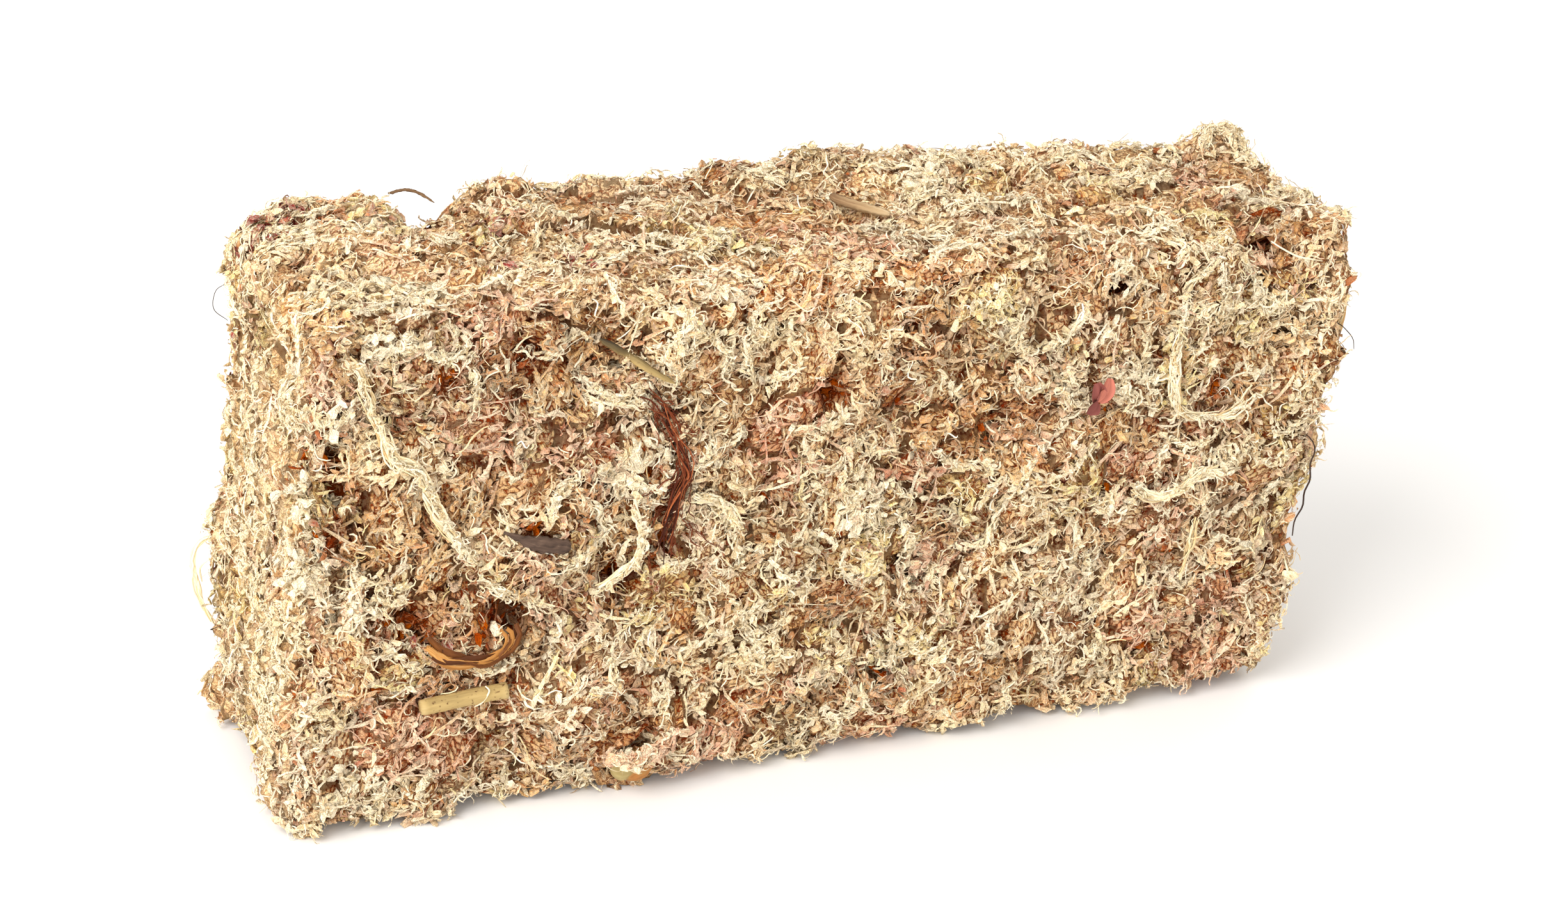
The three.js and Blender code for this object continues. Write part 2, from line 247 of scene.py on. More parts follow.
class Skin:  # the outside of the block, as the frame has it
    def __init__(self, node):
        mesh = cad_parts[node].data
        mesh.calc_loop_triangles()
        places = np.empty(len(mesh.vertices) * 3)
        mesh.vertices.foreach_get("co", places)
        corners = np.empty(len(mesh.loop_triangles) * 3, int)
        mesh.loop_triangles.foreach_get("vertices", corners)
        rounded = np.round(places.reshape(-1, 3), 7)
        self.points, joined = np.unique(rounded, axis=0, return_inverse=True)
        self.faces = joined.reshape(-1)[corners].reshape(-1, 3)
        a, b, c = (self.points[self.faces[:, i]] for i in range(3))
        self.middles = self.points[self.faces].mean(axis=1)
        across = np.cross(b - a, c - a)
        self.areas = np.linalg.norm(across, axis=1) / 2
        self.faceNormals = unit(across)
        normals = np.zeros_like(self.points)
        for i in range(3):
            np.add.at(normals, self.faces[:, i], across)
        self.normals = unit(normals)
        self.tree = BVHTree.FromPolygons(self.points.tolist(), self.faces.tolist())

    def scatter(self, count, density):  # random spots, thicker where density(normals, places) is high
        weights = self.areas * density(self.faceNormals, self.middles)
        picked = rng.choice(len(self.faces), count, p=weights / weights.sum())
        u, v = rng.random(count), rng.random(count)
        over = u + v > 1
        u[over], v[over] = 1 - u[over], 1 - v[over]
        share = np.stack([1 - u - v, u, v], 1)[:, :, None]
        corners = self.faces[picked]
        spots = (self.points[corners] * share).sum(1)
        return spots, unit((self.normals[corners] * share).sum(1))

    def nearest(self, places):  # the nearest spots of the skin and the way out there
        spots = np.empty_like(places)
        outs = np.empty_like(places)
        for i, place in enumerate(places.tolist()):
            spot, _, face, _ = self.tree.find_nearest(place)
            a, b, c = self.points[self.faces[face]]
            spots[i] = spot
            shares = cornerShares(spots[i], a, b, c)
            outs[i] = shares @ self.normals[self.faces[face]]
        return spots, unit(outs)


def unit(vectors):
    lengths = np.linalg.norm(vectors, axis=-1, keepdims=True)
    return vectors / np.maximum(lengths, 1e-12)


def cornerShares(place, a, b, c):
    ab, ac, ap = b - a, c - a, place - a
    d00, d01, d11 = ab @ ab, ab @ ac, ac @ ac
    d20, d21 = ap @ ab, ap @ ac
    span = max(d00 * d11 - d01 * d01, 1e-24)
    v = (d11 * d20 - d01 * d21) / span
    w = (d00 * d21 - d01 * d20) / span
    return np.clip(np.array([1 - v - w, v, w]), 0, 1)


def flatten(directions, outs):  # the part of each direction that lies along the skin
    return unit(directions - (directions * outs).sum(-1, keepdims=True) * outs)


def turnAbout(vectors, axes, angles):  # vectors turned round unit axes
    angles = np.asarray(angles)[..., None]
    along = (vectors * axes).sum(-1, keepdims=True) * axes
    return along + (vectors - along) * np.cos(angles) + np.cross(axes, vectors) * np.sin(angles)


skin = Skin("moss_block")


def makePiece(name, points, faces, look, paints, cells=None):  # one mesh from arrays
    points[:, 2] = np.maximum(points[:, 2], floorGap)
    corners = faces.shape[1]
    mesh = bpy.data.meshes.new(name)
    mesh.vertices.add(len(points))
    mesh.vertices.foreach_set("co", points.astype(np.float32).ravel())
    mesh.loops.add(faces.size)
    mesh.loops.foreach_set("vertex_index", faces.astype(np.int32).ravel())
    mesh.polygons.add(len(faces))
    mesh.polygons.foreach_set("loop_start", np.arange(0, faces.size, corners, dtype=np.int32))
    mesh.polygons.foreach_set("use_smooth", np.ones(len(faces), bool))
    mesh.update(calc_edges=True)
    for key, values in paints.items():
        layer = mesh.attributes.new(key, "FLOAT", "POINT")
        layer.data.foreach_set("value", values.astype(np.float32).ravel())
    if cells is not None:
        layer = mesh.uv_layers.new(name="OFBake")
        layer.uv.foreach_set("vector", cells[faces.ravel()].astype(np.float32).ravel())
    piece = bpy.data.objects.new(name, mesh)
    bpy.context.scene.collection.objects.link(piece)
    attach(piece, "root")
    look.wear(piece)
    return piece


def cellGrid(count, inside):  # each of the like parts has a small square of the map for its points
    grid = math.ceil(math.sqrt(count))
    cell = np.stack([np.arange(count) % grid, np.arange(count) // grid], 1)
    return ((cell[:, None] + inside[None]) / grid).reshape(-1, 2)


def smoothPath(points, steps):  # a Catmull-Rom curve through the points, evenly stepped
    ends = [2 * points[0] - points[1], *points, 2 * points[-1] - points[-2]]
    fine = []
    for a, b, c, d in zip(ends, ends[1:], ends[2:], ends[3:]):
        t = np.linspace(0, 1, 12, endpoint=False)[:, None]
        bow, turn = 2 * a - 5 * b + 4 * c - d, 3 * b - a - 3 * c + d
        fine.append(0.5 * (2 * b + (c - a) * t + bow * t ** 2 + turn * t ** 3))
    fine = np.concatenate([*fine, points[-1:]])
    return evenSteps(fine, np.linspace(0, 1, steps))


def evenSteps(line, shares):  # points at the given shares of a line's length
    reach = np.concatenate([[0], np.cumsum(np.linalg.norm(np.diff(line, axis=0), axis=1))])
    return np.stack([np.interp(shares * reach[-1], reach, column) for column in line.T], 1)


def averaged(values, span=5):  # each row with its neighbours, to smooth a line
    padded = np.pad(values, ((span // 2, span // 2), (0, 0)), mode="edge")
    return np.stack([padded[i:i + len(values)] for i in range(span)]).mean(0)


rayStart = {"front": -50 * mm, "top": 150 * mm}  # well outside the block


def faceSpots(route, face):  # spots of the skin under points (x, z) of the front or (x, y) of the top
    far = np.full(len(route), rayStart[face])
    if face == "front":
        starts = np.stack([route[:, 0], far, route[:, 1]], 1) + blockShift
        way = (0, 1, 0)
    else:
        starts = np.stack([route[:, 0], route[:, 1], far], 1) + blockShift
        way = (0, 0, -1)
    hits = np.array([skin.tree.ray_cast(start, way)[0] or start for start in starts.tolist()])
    return skin.nearest(hits)


def layLine(points, face="front", steps=24, lift=0.3 * mm, aside=2.3 * mm):  # a smooth line on a face
    route = smoothPath(np.array(points, float) * mm, steps)
    ahead = unit(np.gradient(route, axis=0))
    across = np.stack([-ahead[:, 1], ahead[:, 0]], 1)
    # the mean of the skin on both sides, so that small bumps do not bend the line
    spots, outs = zip(*[faceSpots(route + across * side, face) for side in (-aside, aside)])
    line = averaged((spots[0] + spots[1]) / 2)
    column = 2 if face == "front" else 1
    line[:, 0] = route[:, 0] + blockShift[0]
    line[:, column] = route[:, 1] + blockShift[column]
    out = unit(averaged(unit(outs[0] + outs[1])))
    return line + out * lift, out


def freeLine(points, out, steps=24):  # a line in the air
    line = smoothPath(np.array(points, float) * mm, steps) + blockShift
    return line, np.tile(unit(np.array(out, float)), (steps, 1))


# The long pieces that the block carries, placed in millimetres as in the part
lines = {
    "pale_stem_left": layLine([
        (-87.4, 86), (-85.1, 84), (-80.3, 73.9), (-77.8, 67.7), (-74.6, 66.1), (-70.9, 59.2),
        (-66.6, 52.2), (-62.4, 47.4),
    ], steps=40),
    "pale_stem_right": layLine([
        (59.2, 77.3), (58.9, 70.5), (59.6, 64), (62.4, 59.8), (67.1, 58.4), (72.3, 58.2), (77.6, 60.9),
    ], steps=32),
    "pale_stem_low": layLine([(54.1, 46.9), (58.9, 43.9), (64.6, 44.9), (69, 47.9), (73.4, 46.8)]),
    "pale_stem_drop": layLine([(68.7, 39), (68.2, 31.9), (67.9, 26.4)]),
    "pale_stem_middle": layLine([(-27.5, 55.1), (-22, 53.2), (-17.4, 47.7)]),
    "arc_stem": layLine([(-38.3, 55.5), (-35.4, 49.8), (-36.2, 44.4), (-42, 39.7)]),
    "split_reed": layLine([(-45.3, 84.4), (-39, 80.3), (-32.6, 76.3)], lift=0.5 * mm),
    "root_strip": layLine([
        (-38, 75.5), (-33.9, 71.1), (-31.4, 67.3), (-28.5, 60.3), (-29.3, 56.9), (-30.3, 52.6),
        (-31.1, 46.7), (-31.6, 43.3),
    ], steps=32, lift=0.1 * mm),
    "curled_leaf": layLine([
        (-71.1, 34.7), (-67.6, 31.6), (-63.7, 30.1), (-59.6, 30), (-56, 32.8), (-56.7, 35.3),
    ]),
    "russet_flake": layLine([(43.2, 61.8), (44.2, 65.2), (46.6, 69.1)], lift=0.2 * mm),
    "side_twig": layLine([(72.3, 39.8), (77.1, 42.1)]),
    "reed_stub": layLine([(-71, 23.1), (-56.6, 24.1)], lift=0.5 * mm),
    "bark_chip": layLine([(-59.3, 53.3), (-54, 51), (-48.1, 49.2)], steps=16, lift=0.1 * mm),
    "top_twig": layLine([(5.4, 5.2), (8.2, 0.6), (11.9, -4.2)], "top", lift=0.5 * mm),
}
clearings = {  # how far the leaves keep away from each of them
    "split_reed": 0.9 * mm,
    "root_strip": 0.3 * mm,
    "curled_leaf": 1.9 * mm,
    "russet_flake": 1.7 * mm,
    "reed_stub": 1.9 * mm,
    "bark_chip": 1.0 * mm,
    "top_twig": 1.7 * mm,
}
plainClearing = 0.55 * mm
clearing = {"sunk": 1.3 * mm, "slope": 1.1}  # how deep the moss lies beside them, and how fast it rises
rowsAtOnce = 3000  # places that are measured together, to spare memory


def clearCap(places):  # the highest that moss may rise at each place
    spots = np.concatenate([line for line, _ in lines.values()])
    reach = [np.full(len(line), clearings.get(name, plainClearing)) for name, (line, _) in lines.items()]
    reach = np.concatenate(reach)
    cap = np.empty(len(places))
    for start in range(0, len(places), rowsAtOnce):
        rows = slice(start, start + rowsAtOnce)
        away = np.linalg.norm(places[rows, None] - spots[None], axis=2) - reach[None]
        cap[rows] = -clearing["sunk"] + clearing["slope"] * np.maximum(away.min(1), 0)
    return cap


# Tufts: the moss lies in tufts, each with its own lie, height and colour
toneColours = {  # each tone's place on the moss colour ramp, and its colour there
    "cream": (0.04, (252, 234, 200)),
    "straw": (0.16, (252, 227, 178)),
    "tan": (0.30, (248, 208, 156)),
    "orange": (0.44, (245, 193, 126)),
    "rust": (0.56, (226, 158, 98)),
    "pink": (0.68, (243, 192, 160)),
    "grey": (0.80, (234, 213, 172)),
    "yellow": (0.90, (250, 224, 148)),
    "wine": (1.00, (160, 66, 60)),
}
toneStops = list(toneColours.values())
tones = {name: place for name, (place, _) in toneColours.items()}

# How common each tone is on each face, from the whole look of that face
toneShares = {
    "front": {
        "cream": 8, "straw": 8, "tan": 7, "orange": 3.5, "rust": 2, "pink": 3, "grey": 4, "yellow": 3,
    },
    "top": {"cream": 13, "straw": 12, "tan": 5, "orange": 1, "pink": 2, "grey": 1, "yellow": 3},
    "end": {"cream": 10, "straw": 14, "tan": 2, "yellow": 3},
}

# Patches of one colour: tone, x and z on the front, radius in millimetres
frontPatches = [
    ("grey", -74, 82, 8), ("orange", -90, 88, 5), ("rust", -56, 82, 5), ("cream", -83, 74, 5),
    ("orange", -79, 51, 6), ("rust", -65, 32, 8), ("orange", -60, 60, 6), ("grey", -53, 68, 6),
    ("pink", -44, 66, 4), ("cream", -38, 61, 5), ("pink", -41, 53, 4), ("cream", -24, 53, 4),
    ("pink", -12, 64, 5), ("pink", -16, 73, 4), ("straw", -20, 60, 6), ("rust", -1, 70, 6),
    ("rust", 13, 76, 6), ("orange", 24, 63, 8), ("grey", 35, 73, 8), ("cream", 52, 66, 5),
    ("rust", 42, 89, 5), ("yellow", 23, 86, 6), ("orange", 11, 87, 4), ("yellow", 76, 77, 4),
    ("tan", 84, 72, 6), ("grey", 70, 64, 4), ("pink", 74, 50, 4), ("cream", 4, 50, 4),
    ("yellow", 9, 39, 5), ("pink", 19, 38, 4), ("pink", -3, 38, 5), ("yellow", -12, 36, 5),
    ("straw", -13, 23, 6), ("straw", 3, 20, 5), ("grey", 12, 17, 4), ("orange", 60, 30, 4),
    ("grey", 25, 28, 6), ("straw", 36, 40, 10), ("straw", 53, 19, 10), ("pink", 76, 16, 6),
    ("pink", 66, 13, 4), ("pink", -38, 19, 4), ("orange", -29, 9, 6), ("pink", -20, 7, 5),
    ("pink", -7, 15, 4), ("rust", 10, 8, 5), ("orange", -88, 32, 5), ("cream", -85, 16, 6),
    ("pink", -71, 13, 6), ("pink", -43, 8, 4), ("rust", 32, 58, 4), ("straw", -10, 84, 9),
    ("straw", -30, 68, 5),
]
# The same on the top: tone, x and y
topPatches = [
    ("wine", -87, 15, 4), ("grey", -80, 6, 8), ("rust", -69, 16, 4), ("cream", -73, -11, 6),
    ("wine", -54, 7, 3), ("wine", -58, -7, 3), ("wine", -42, -4, 4), ("orange", -32, 13, 7),
    ("pink", -62, -19, 5), ("straw", -47, 20, 6), ("yellow", -18, -7, 7), ("cream", -10, -3, 7),
    ("orange", 13, 1, 4), ("cream", 26, 5, 8), ("pink", 3, -7, 5), ("straw", 52, 1, 12),
    ("grey", 79, 7, 5), ("pink", 27, 20, 5), ("rust", -10, 22, 4), ("orange", -90, -12, 5),
    ("straw", -2, 11, 8), ("straw", 45, 14, 8), ("straw", 63, 14, 7), ("cream", 82, -6, 7),
]

# Hollows on the front, sunk into the moss and painted with shade: x, z, radius and depth in millimetres
frontHollows = [
    (-73, 36, 4.5, 2.4), (-56, 35.5, 3.5, 2), (-38, 40.5, 3.5, 2.5), (-3, 70, 3, 2.5),
    (46, 85, 3.5, 1.3), (77, 89, 3, 1.5), (-70, 80, 3, 1.5), (70, 63, 3, 1.5),
    (-56, 82, 3.5, 2), (-54, 52.5, 2.5, 1.5), (43.6, 71, 1.6, 2.5), (-91, 77, 2.2, 1),
    (-90, 73, 2, 1), (-88, 69, 2, 1), (-86.5, 65, 2, 1), (-86, 61, 2, 1),
    (-85.5, 57, 2, 1), (-85, 53, 2, 1), (-34, 60, 2.5, 1.5), (-31, 53, 2.5, 1.5),
    (-32, 46, 3, 2),
]

tuftSettings = {
    "tries": 9000,
    "smallest": 3.2 * mm,
    "largest": 7.0 * mm,
    "spacing": 0.72,
    "sink": 1.8 * mm,
    "dome": 1.2 * mm,
    "crease": 1.2 * mm,
    "creaseWidth": 0.2,
    "rise": 0.4 * mm,
    "stray": 0.6,  # radians that a tuft turns from the lie around it
    "rosettes": {"end": 0.05, "top": 0.2, "front": 0.35},  # how many tufts spread from their middle
    "patchHold": 0.8,  # how many of the tufts in a patch take its tone
    "ridge": {"end": 1.15 * mm, "top": 0.4 * mm},
}


def faceOf(outs):  # which face of the block each way out belongs to
    names = np.array(["end", "end", "front", "back", "bottom", "top"])
    signs = np.stack([-outs[:, 0], outs[:, 0], -outs[:, 1], outs[:, 1], -outs[:, 2], outs[:, 2]], 1)
    return names[signs.argmax(1)]


def lieOf(places, outs):  # the way the strands lie: up the ends, along the top, in bends on the broad faces
    x, z = places[:, 0] / mm, places[:, 2] / mm
    # radians down from +X
    bend = np.interp(x, [-92, -55, -25, 15, 50, 92], [1.1, 0.9, 1.7, 2.5, 1.9, 1.6])
    bend = bend + 0.55 * np.sin(z / 11 + x / 17) + 0.35 * np.sin(x / 6.5 - z / 8)
    lie = np.stack([np.cos(bend), np.zeros(len(x)), -np.sin(bend)], 1)
    kinds = faceOf(outs)
    lie[kinds == "end"] = (0, 0.12, 1)
    flat = (kinds == "top") | (kinds == "bottom")
    lie[flat] = np.stack([np.ones(len(x)), 0.35 * np.sin(x / 14), np.zeros(len(x))], 1)[flat]
    return flatten(lie, outs)


def drawTones(kinds):  # a random tone for each spot, as common as its face has it
    tone = np.empty(len(kinds))
    for kind in np.unique(kinds):
        shares = toneShares.get(kind, toneShares["front"])
        chances = np.array(list(shares.values()), float)
        picked = rng.choice(list(shares), (kinds == kind).sum(), p=chances / chances.sum())
        tone[kinds == kind] = [tones[name] for name in picked]
    return tone


def makeTufts(settings):
    places, outs = skin.scatter(settings["tries"], lambda normals, middles: np.ones(len(middles)))
    radii = rng.uniform(settings["smallest"], settings["largest"], len(places))
    kept = []
    for i in range(len(places)):
        if kept:
            gaps = np.linalg.norm(places[kept] - places[i], axis=1)
            if (gaps < settings["spacing"] * (radii[kept] + radii[i])).any():
                continue
        kept.append(i)
    places, outs, radii = places[kept], outs[kept], radii[kept]
    kinds = faceOf(outs)
    count = len(places)
    tone = drawTones(kinds)
    held = rng.random(count) < settings["patchHold"]
    for face, patches in (("front", frontPatches), ("top", topPatches)):
        for name, x, across, radius in patches:
            middle = faceSpots(np.array([(x, across)]) * mm, face)[0][0]
            near = np.linalg.norm(places - middle, axis=1) < radius * mm
            tone[near & held] = tones[name]
    streaky = np.isin(kinds, ["end", "top"])
    stray = rng.normal(0, settings["stray"], count) * np.where(streaky, 0.4, 1)
    paler = np.interp(tone, [0.04, 0.3, 0.44, 0.56, 0.68], [0.8, 0, -0.5, -1.2, 0])
    rosetteShare = np.array([settings["rosettes"].get(kind, settings["rosettes"]["front"]) for kind in kinds])
    return {
        "places": places,
        "outs": outs,
        "radii": radii,
        "lies": flatten(turnAbout(lieOf(places, outs), outs, stray), outs),
        "stretch": np.where(streaky, rng.uniform(1.4, 2.6, count), rng.uniform(1.0, 1.8, count)),
        "tone": tone,
        "light": rng.normal(0, 0.9, count) + paler,
        "rise": rng.normal(0, settings["rise"], count),
        "rosette": rng.random(count) < rosetteShare,
        "curly": np.clip(rng.normal(np.where(streaky, 0.3, 0.55), 0.3, count), 0, 1),
    }


def tuftAt(places):  # the tuft each place belongs to, how far out it is in it, and how near a crease
    owner = np.empty(len(places), int)
    reach, margin = np.empty((2, len(places)))
    for start in range(0, len(places), rowsAtOnce):
        part = slice(start, start + rowsAtOnce)
        away = places[part, None, :] - tufts["places"][None]
        along = (away * tufts["lies"][None]).sum(-1)
        squared = (away ** 2).sum(-1) - along ** 2 * (1 - 1 / tufts["stretch"] ** 2)
        far = np.sqrt(np.maximum(squared, 0)) / tufts["radii"]
        order = np.argpartition(far, 1, axis=1)[:, :2]
        pair = np.take_along_axis(far, order, 1)
        first = pair.argmin(1)
        rows = np.arange(len(order))
        owner[part] = order[rows, first]
        reach[part] = pair[rows, first]
        margin[part] = pair[rows, 1 - first] - pair[rows, first]
    return owner, reach, margin


def hollowAt(places):  # how far in a hollow each place is, and how deep the moss lies there
    away = np.linalg.norm(places[:, None] - hollows["places"][None], axis=2) / hollows["radii"]
    inside = np.clip(1.2 - away, 0, 1)
    return inside.max(1), (inside * hollows["depths"]).max(1)


def mossLift(places, outs, settings=tuftSettings):  # owner, height over the skin, and how much painted shade each place gets in creases, hollows and furrows
    owner, reach, margin = tuftAt(places)
    hollow, sunk = hollowAt(places)
    crease = np.clip(1 - margin / settings["creaseWidth"], 0, 1) ** 1.5
    x, y, z = (places[:, i] / mm for i in range(3))
    endWave = np.sin(y / 0.74 + 1.8 * np.sin(z / 19) + 0.9 * np.sin(z / 7.3 + y / 5))
    topWave = np.sin(y / 0.86 + 2.1 * np.sin(x / 23) + 0.9 * np.sin(x / 8.1))
    ends, top = outs[:, 0] ** 2, np.maximum(outs[:, 2], 0) ** 2
    ridge = settings["ridge"]["end"] * ends * endWave + settings["ridge"]["top"] * top * topWave
    dome = settings["dome"] * (0.35 - np.minimum(reach, 1.3) ** 2) * (1 - 0.6 * ends)
    groove = settings["crease"] * crease * (1 - 0.5 * ends)
    lift = dome + tufts["rise"][owner] - groove + ridge - settings["sink"] - sunk
    # painted shade: the moss is painted darker in the creases between tufts, in the hollows and in the
    # furrows between the ridges of the ends and the top
    endFurrowShade = ends * np.clip(-endWave - 0.25, 0, 1) * 0.75
    topFurrowShade = top * np.clip(-topWave - 0.4, 0, 1) * 0.5
    return owner, lift, 0.8 * crease + 1.3 * hollow + endFurrowShade + topFurrowShade


tufts = makeTufts(tuftSettings)
hollowTable = np.array(frontHollows)
hollows = {
    "places": faceSpots(hollowTable[:, :2] * mm, "front")[0],
    "radii": hollowTable[:, 2] * mm,
    "depths": hollowTable[:, 3] * mm,
}
print("tufts", len(tufts["places"]))

# Bed: the pressed moss under the leaves, seen between them
bedSettings = {
    "lowest": 0.3 * mm,
    "crumple": 0.22 * mm,
    "waves": 24,
    "waveLength": (1.8 * mm, 4.5 * mm),
}


def calmOf(outs):  # how flat the strands lie: most on the ends, less on the top
    return outs[:, 0] ** 2 + 0.4 * np.maximum(outs[:, 2], 0) ** 2


def splitFaces(points, outs, faces):  # each face cut into four
    edges = np.sort(np.stack([faces[:, [0, 1]], faces[:, [1, 2]], faces[:, [2, 0]]], 1), axis=2)
    pairs, index = np.unique(edges.reshape(-1, 2), axis=0, return_inverse=True)
    a, b, c = faces.T
    ab, bc, ca = (index.reshape(-1, 3) + len(points)).T
    parts = [np.stack(face, 1) for face in ((a, ab, ca), (b, bc, ab), (c, ca, bc), (ab, bc, ca))]
    points = np.concatenate([points, points[pairs].mean(1)])
    return points, unit(np.concatenate([outs, outs[pairs].sum(1)])), np.concatenate(parts)


def crumpled(points, settings):  # a small uneven height for each point, from crossing waves
    total = np.zeros(len(points))
    for _ in range(settings["waves"]):
        way = unit(rng.normal(0, 1, 3)) * 2 * np.pi / rng.uniform(*settings["waveLength"])
        total += np.sin(points @ way + rng.uniform(0, 6.3))
    return total * settings["crumple"] / math.sqrt(settings["waves"] / 2)


def placesInTufts(points, owner):  # millimetres along and across the lie of each point's tuft
    away = points - tufts["places"][owner]
    lie = tufts["lies"][owner]
    u = (away * lie).sum(1) / mm
    v = (away * np.cross(tufts["outs"][owner], lie)).sum(1) / mm
    rosette = tufts["rosette"][owner]
    return np.where(rosette, np.hypot(u, v), u), np.where(rosette, 3.0 * np.arctan2(v, u), v)


def makeBed(settings):
    points, outs, faces = splitFaces(*splitFaces(skin.points, skin.normals, skin.faces))
    owner, lift, deep = mossLift(points, outs)
    _, _, margin = tuftAt(points)
    u, v = placesInTufts(points, owner)
    lift = np.minimum(lift, clearCap(points)) + crumpled(points, settings)
    paints = {
        # painted shade of the creases, hollows and furrows, for the bed's look
        "deep": np.clip(deep, 0, 1),
        "tone": tufts["tone"][owner] + rng.normal(0, 0.02, len(points)),
        "shade": tufts["light"][owner],
        "run": u,
        "wide": v,
        "seed": 7.0 * owner,
        "border": np.clip(1.6 - margin / 0.12, 0, 1),
        "calm": calmOf(outs),
    }
    points = points + outs * lift[:, None]
    points[:, 2] = np.maximum(points[:, 2], settings["lowest"])
    bed = makePiece("pressed_bed", points, faces, makeBedLook(), paints)
    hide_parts("moss_block")


def scales(look, spot, wander):  # how far from a scale's middle and edge, which scale, how near its tip
    bent = look.node("ShaderNodeVectorMath", {"operation": "ADD"}, {0: spot, 1: wander})
    cell = {"Vector": bent, "Scale": 1.0}
    away = look.node("ShaderNodeTexVoronoi", {}, cell)
    edge = look.node("ShaderNodeTexVoronoi", {"feature": "DISTANCE_TO_EDGE"}, cell)
    colours = look.node("ShaderNodeTexVoronoi", {}, cell, output=1)
    chance = look.node("ShaderNodeSeparateXYZ", {}, {0: colours})
    middle = look.node("ShaderNodeTexVoronoi", {}, cell, output=2)
    ahead = look.node("ShaderNodeVectorMath", {"operation": "SUBTRACT"}, {0: bent, 1: middle})
    return away, edge, chance, look.node("ShaderNodeSeparateXYZ", {}, {0: ahead})


paleLeaf = (253, 239, 208)


def makeBedLook():
    look = Look("pressed moss bed")
    run, wide = 0.62 * look.attribute("run"), 1.3 * look.attribute("wide")
    inTuft = look.vector(run, wide, look.attribute("seed"))
    onBlock = look.scaled(look.places(), 950.0)
    wander = look.scaled(look.noiseColour(800), 1.3)
    border = look.attribute("border")
    pairs = zip(scales(look, inTuft, wander), scales(look, onBlock, wander))
    away, edge, chance, tip = [inside * (1 - border) + outside * border for inside, outside in pairs]
    crinkle = look.noise(1700, 3.0)
    fold = look.threads(crinkle, 10)
    colour = look.ramp(look.attribute("tone") + 0.16 * chance - 0.08, toneStops)
    # paler towards each scale's tip, as painted light on overlapping scales, together with pale curly lines
    # and random paler scales
    pale = (0.55 * fold + 0.9 * tip + 0.6 * chance - 0.15).held()
    colour = look.mix(0.7 * pale, colour, paint(paleLeaf))
    # painted shade: thin dark lines between the scales, weaker on the ends; they also dent the bump
    calm = 1.0 - 0.65 * look.attribute("calm")
    gapShade = calm * (0.8 - 4.5 * edge + 2.4 * (0.5 - crinkle) - 0.7 * tip).held()
    # painted shade: darker in the gap lines, the creases and hollows, and a little all over the bed where it
    # lies under the leaves, less on the ends
    shadowed = (0.8 * gapShade + 0.7 * look.attribute("deep") + 0.2 * calm).held()
    colour = look.tinted(shadowed, colour, (148, 74, 12))
    colour = look.tinted(0.5, colour, (246, 206, 140))
    light = 1.05 + 0.1 * look.attribute("shade") + 0.2 * (chance - 0.5)
    look.feed("Base Color", look.lit(colour, light))
    look.feed("Roughness", 0.95)
    look.feed("Specular IOR Level", 0.1)
    look.bump(0.8 * tip - away + 0.8 * crinkle + 0.3 * fold - gapShade, 1.0, 0.55 * mm)
    return look


makeBed(bedSettings)
print("bed")

# Branches: short bent ropes of small crumpled leaves, with thin curls round them
leafForm = {  # points of a leaf: along its length, across its width and its doming, in shares
    "points": np.array([
        (0.00, 0.00, -0.04), (0.20, -0.42, -0.12), (0.20, 0.42, -0.12), (0.32, 0.00, 0.14),
        (0.76, -0.42, -0.12), (0.76, 0.42, -0.12), (0.68, 0.00, 0.16), (1.00, 0.00, -0.08),
    ]),
    "faces": np.array([
        (0, 1, 3), (0, 3, 2), (1, 4, 6), (1, 6, 3), (3, 6, 5), (3, 5, 2), (4, 7, 6), (6, 7, 5),
    ]),
    "rim": np.array([0.0, 0.7, 0.7, 0.0, 1, 1, 0.0, 1]),
}

branchSettings = {
    "length": (5 * mm, 10 * mm),
    "radius": (0.45 * mm, 0.95 * mm),
    "flat": 0.75,  # depth of a branch against its width
    "layer": (-0.7 * mm, 0.25 * mm),  # how low and how high over the bed a branch lies
    "darkening": 1.9 * mm,  # how much lower a branch lies where it is fully in the shade
    "bend": 1.1,
    "wave": 0.14,
    "calmRise": 0.3 * mm,  # how much higher the branches lie on the ends and the top
    "leaves": 9,
    "leafLong": (1.2 * mm, 2.5 * mm),
    "leafRatio": (0.42, 0.75),
    "sideBend": 1.0,
    "lengthBend": 0.6,
    "crumple": 0.05,
    "around": 1.5,  # radians, how far round its branch a leaf may sit
    "lean": (0.0, 0.35),  # radians, how far a leaf leans away from its branch
    "wild": 0.05,
    "ownTone": 0.8,  # how many branches have the tone of their tuft
    "strayTone": 0.12,  # how many leaves have a tone of their own
    "spineHalf": (0.12 * mm, 0.32 * mm),
    "spineSteps": 7,
    "curls": 6,
    "steps": 6,  # rings of a curl
    "curlLong": (1.2 * mm, 4.2 * mm),
    "curlHalf": (0.06 * mm, 0.18 * mm),
    "curlTurn": (0.8, 4.4),  # radians from end to end
    "curlRise": (0.1 * mm, 0.5 * mm),
    "paleCurls": 0.45,
    "size": {"end": 0.8, "top": 0.85},
}


def evenScatter(count, density):  # random spots that keep apart, so that they cover the skin evenly
    places, outs = skin.scatter(count * 4, density)
    area = (skin.areas * np.clip(density(skin.faceNormals, skin.middles), 0, 1)).sum()
    apart = 0.8 * math.sqrt(area / count)
    kept = [0]
    spare = []
    for i in range(1, len(places)):
        near = np.linalg.norm(places[kept] - places[i], axis=1) < apart
        (spare if near.any() else kept).append(i)
        if len(kept) == count:
            break
    chosen = (kept + spare)[:count]
    return places[chosen], outs[chosen]


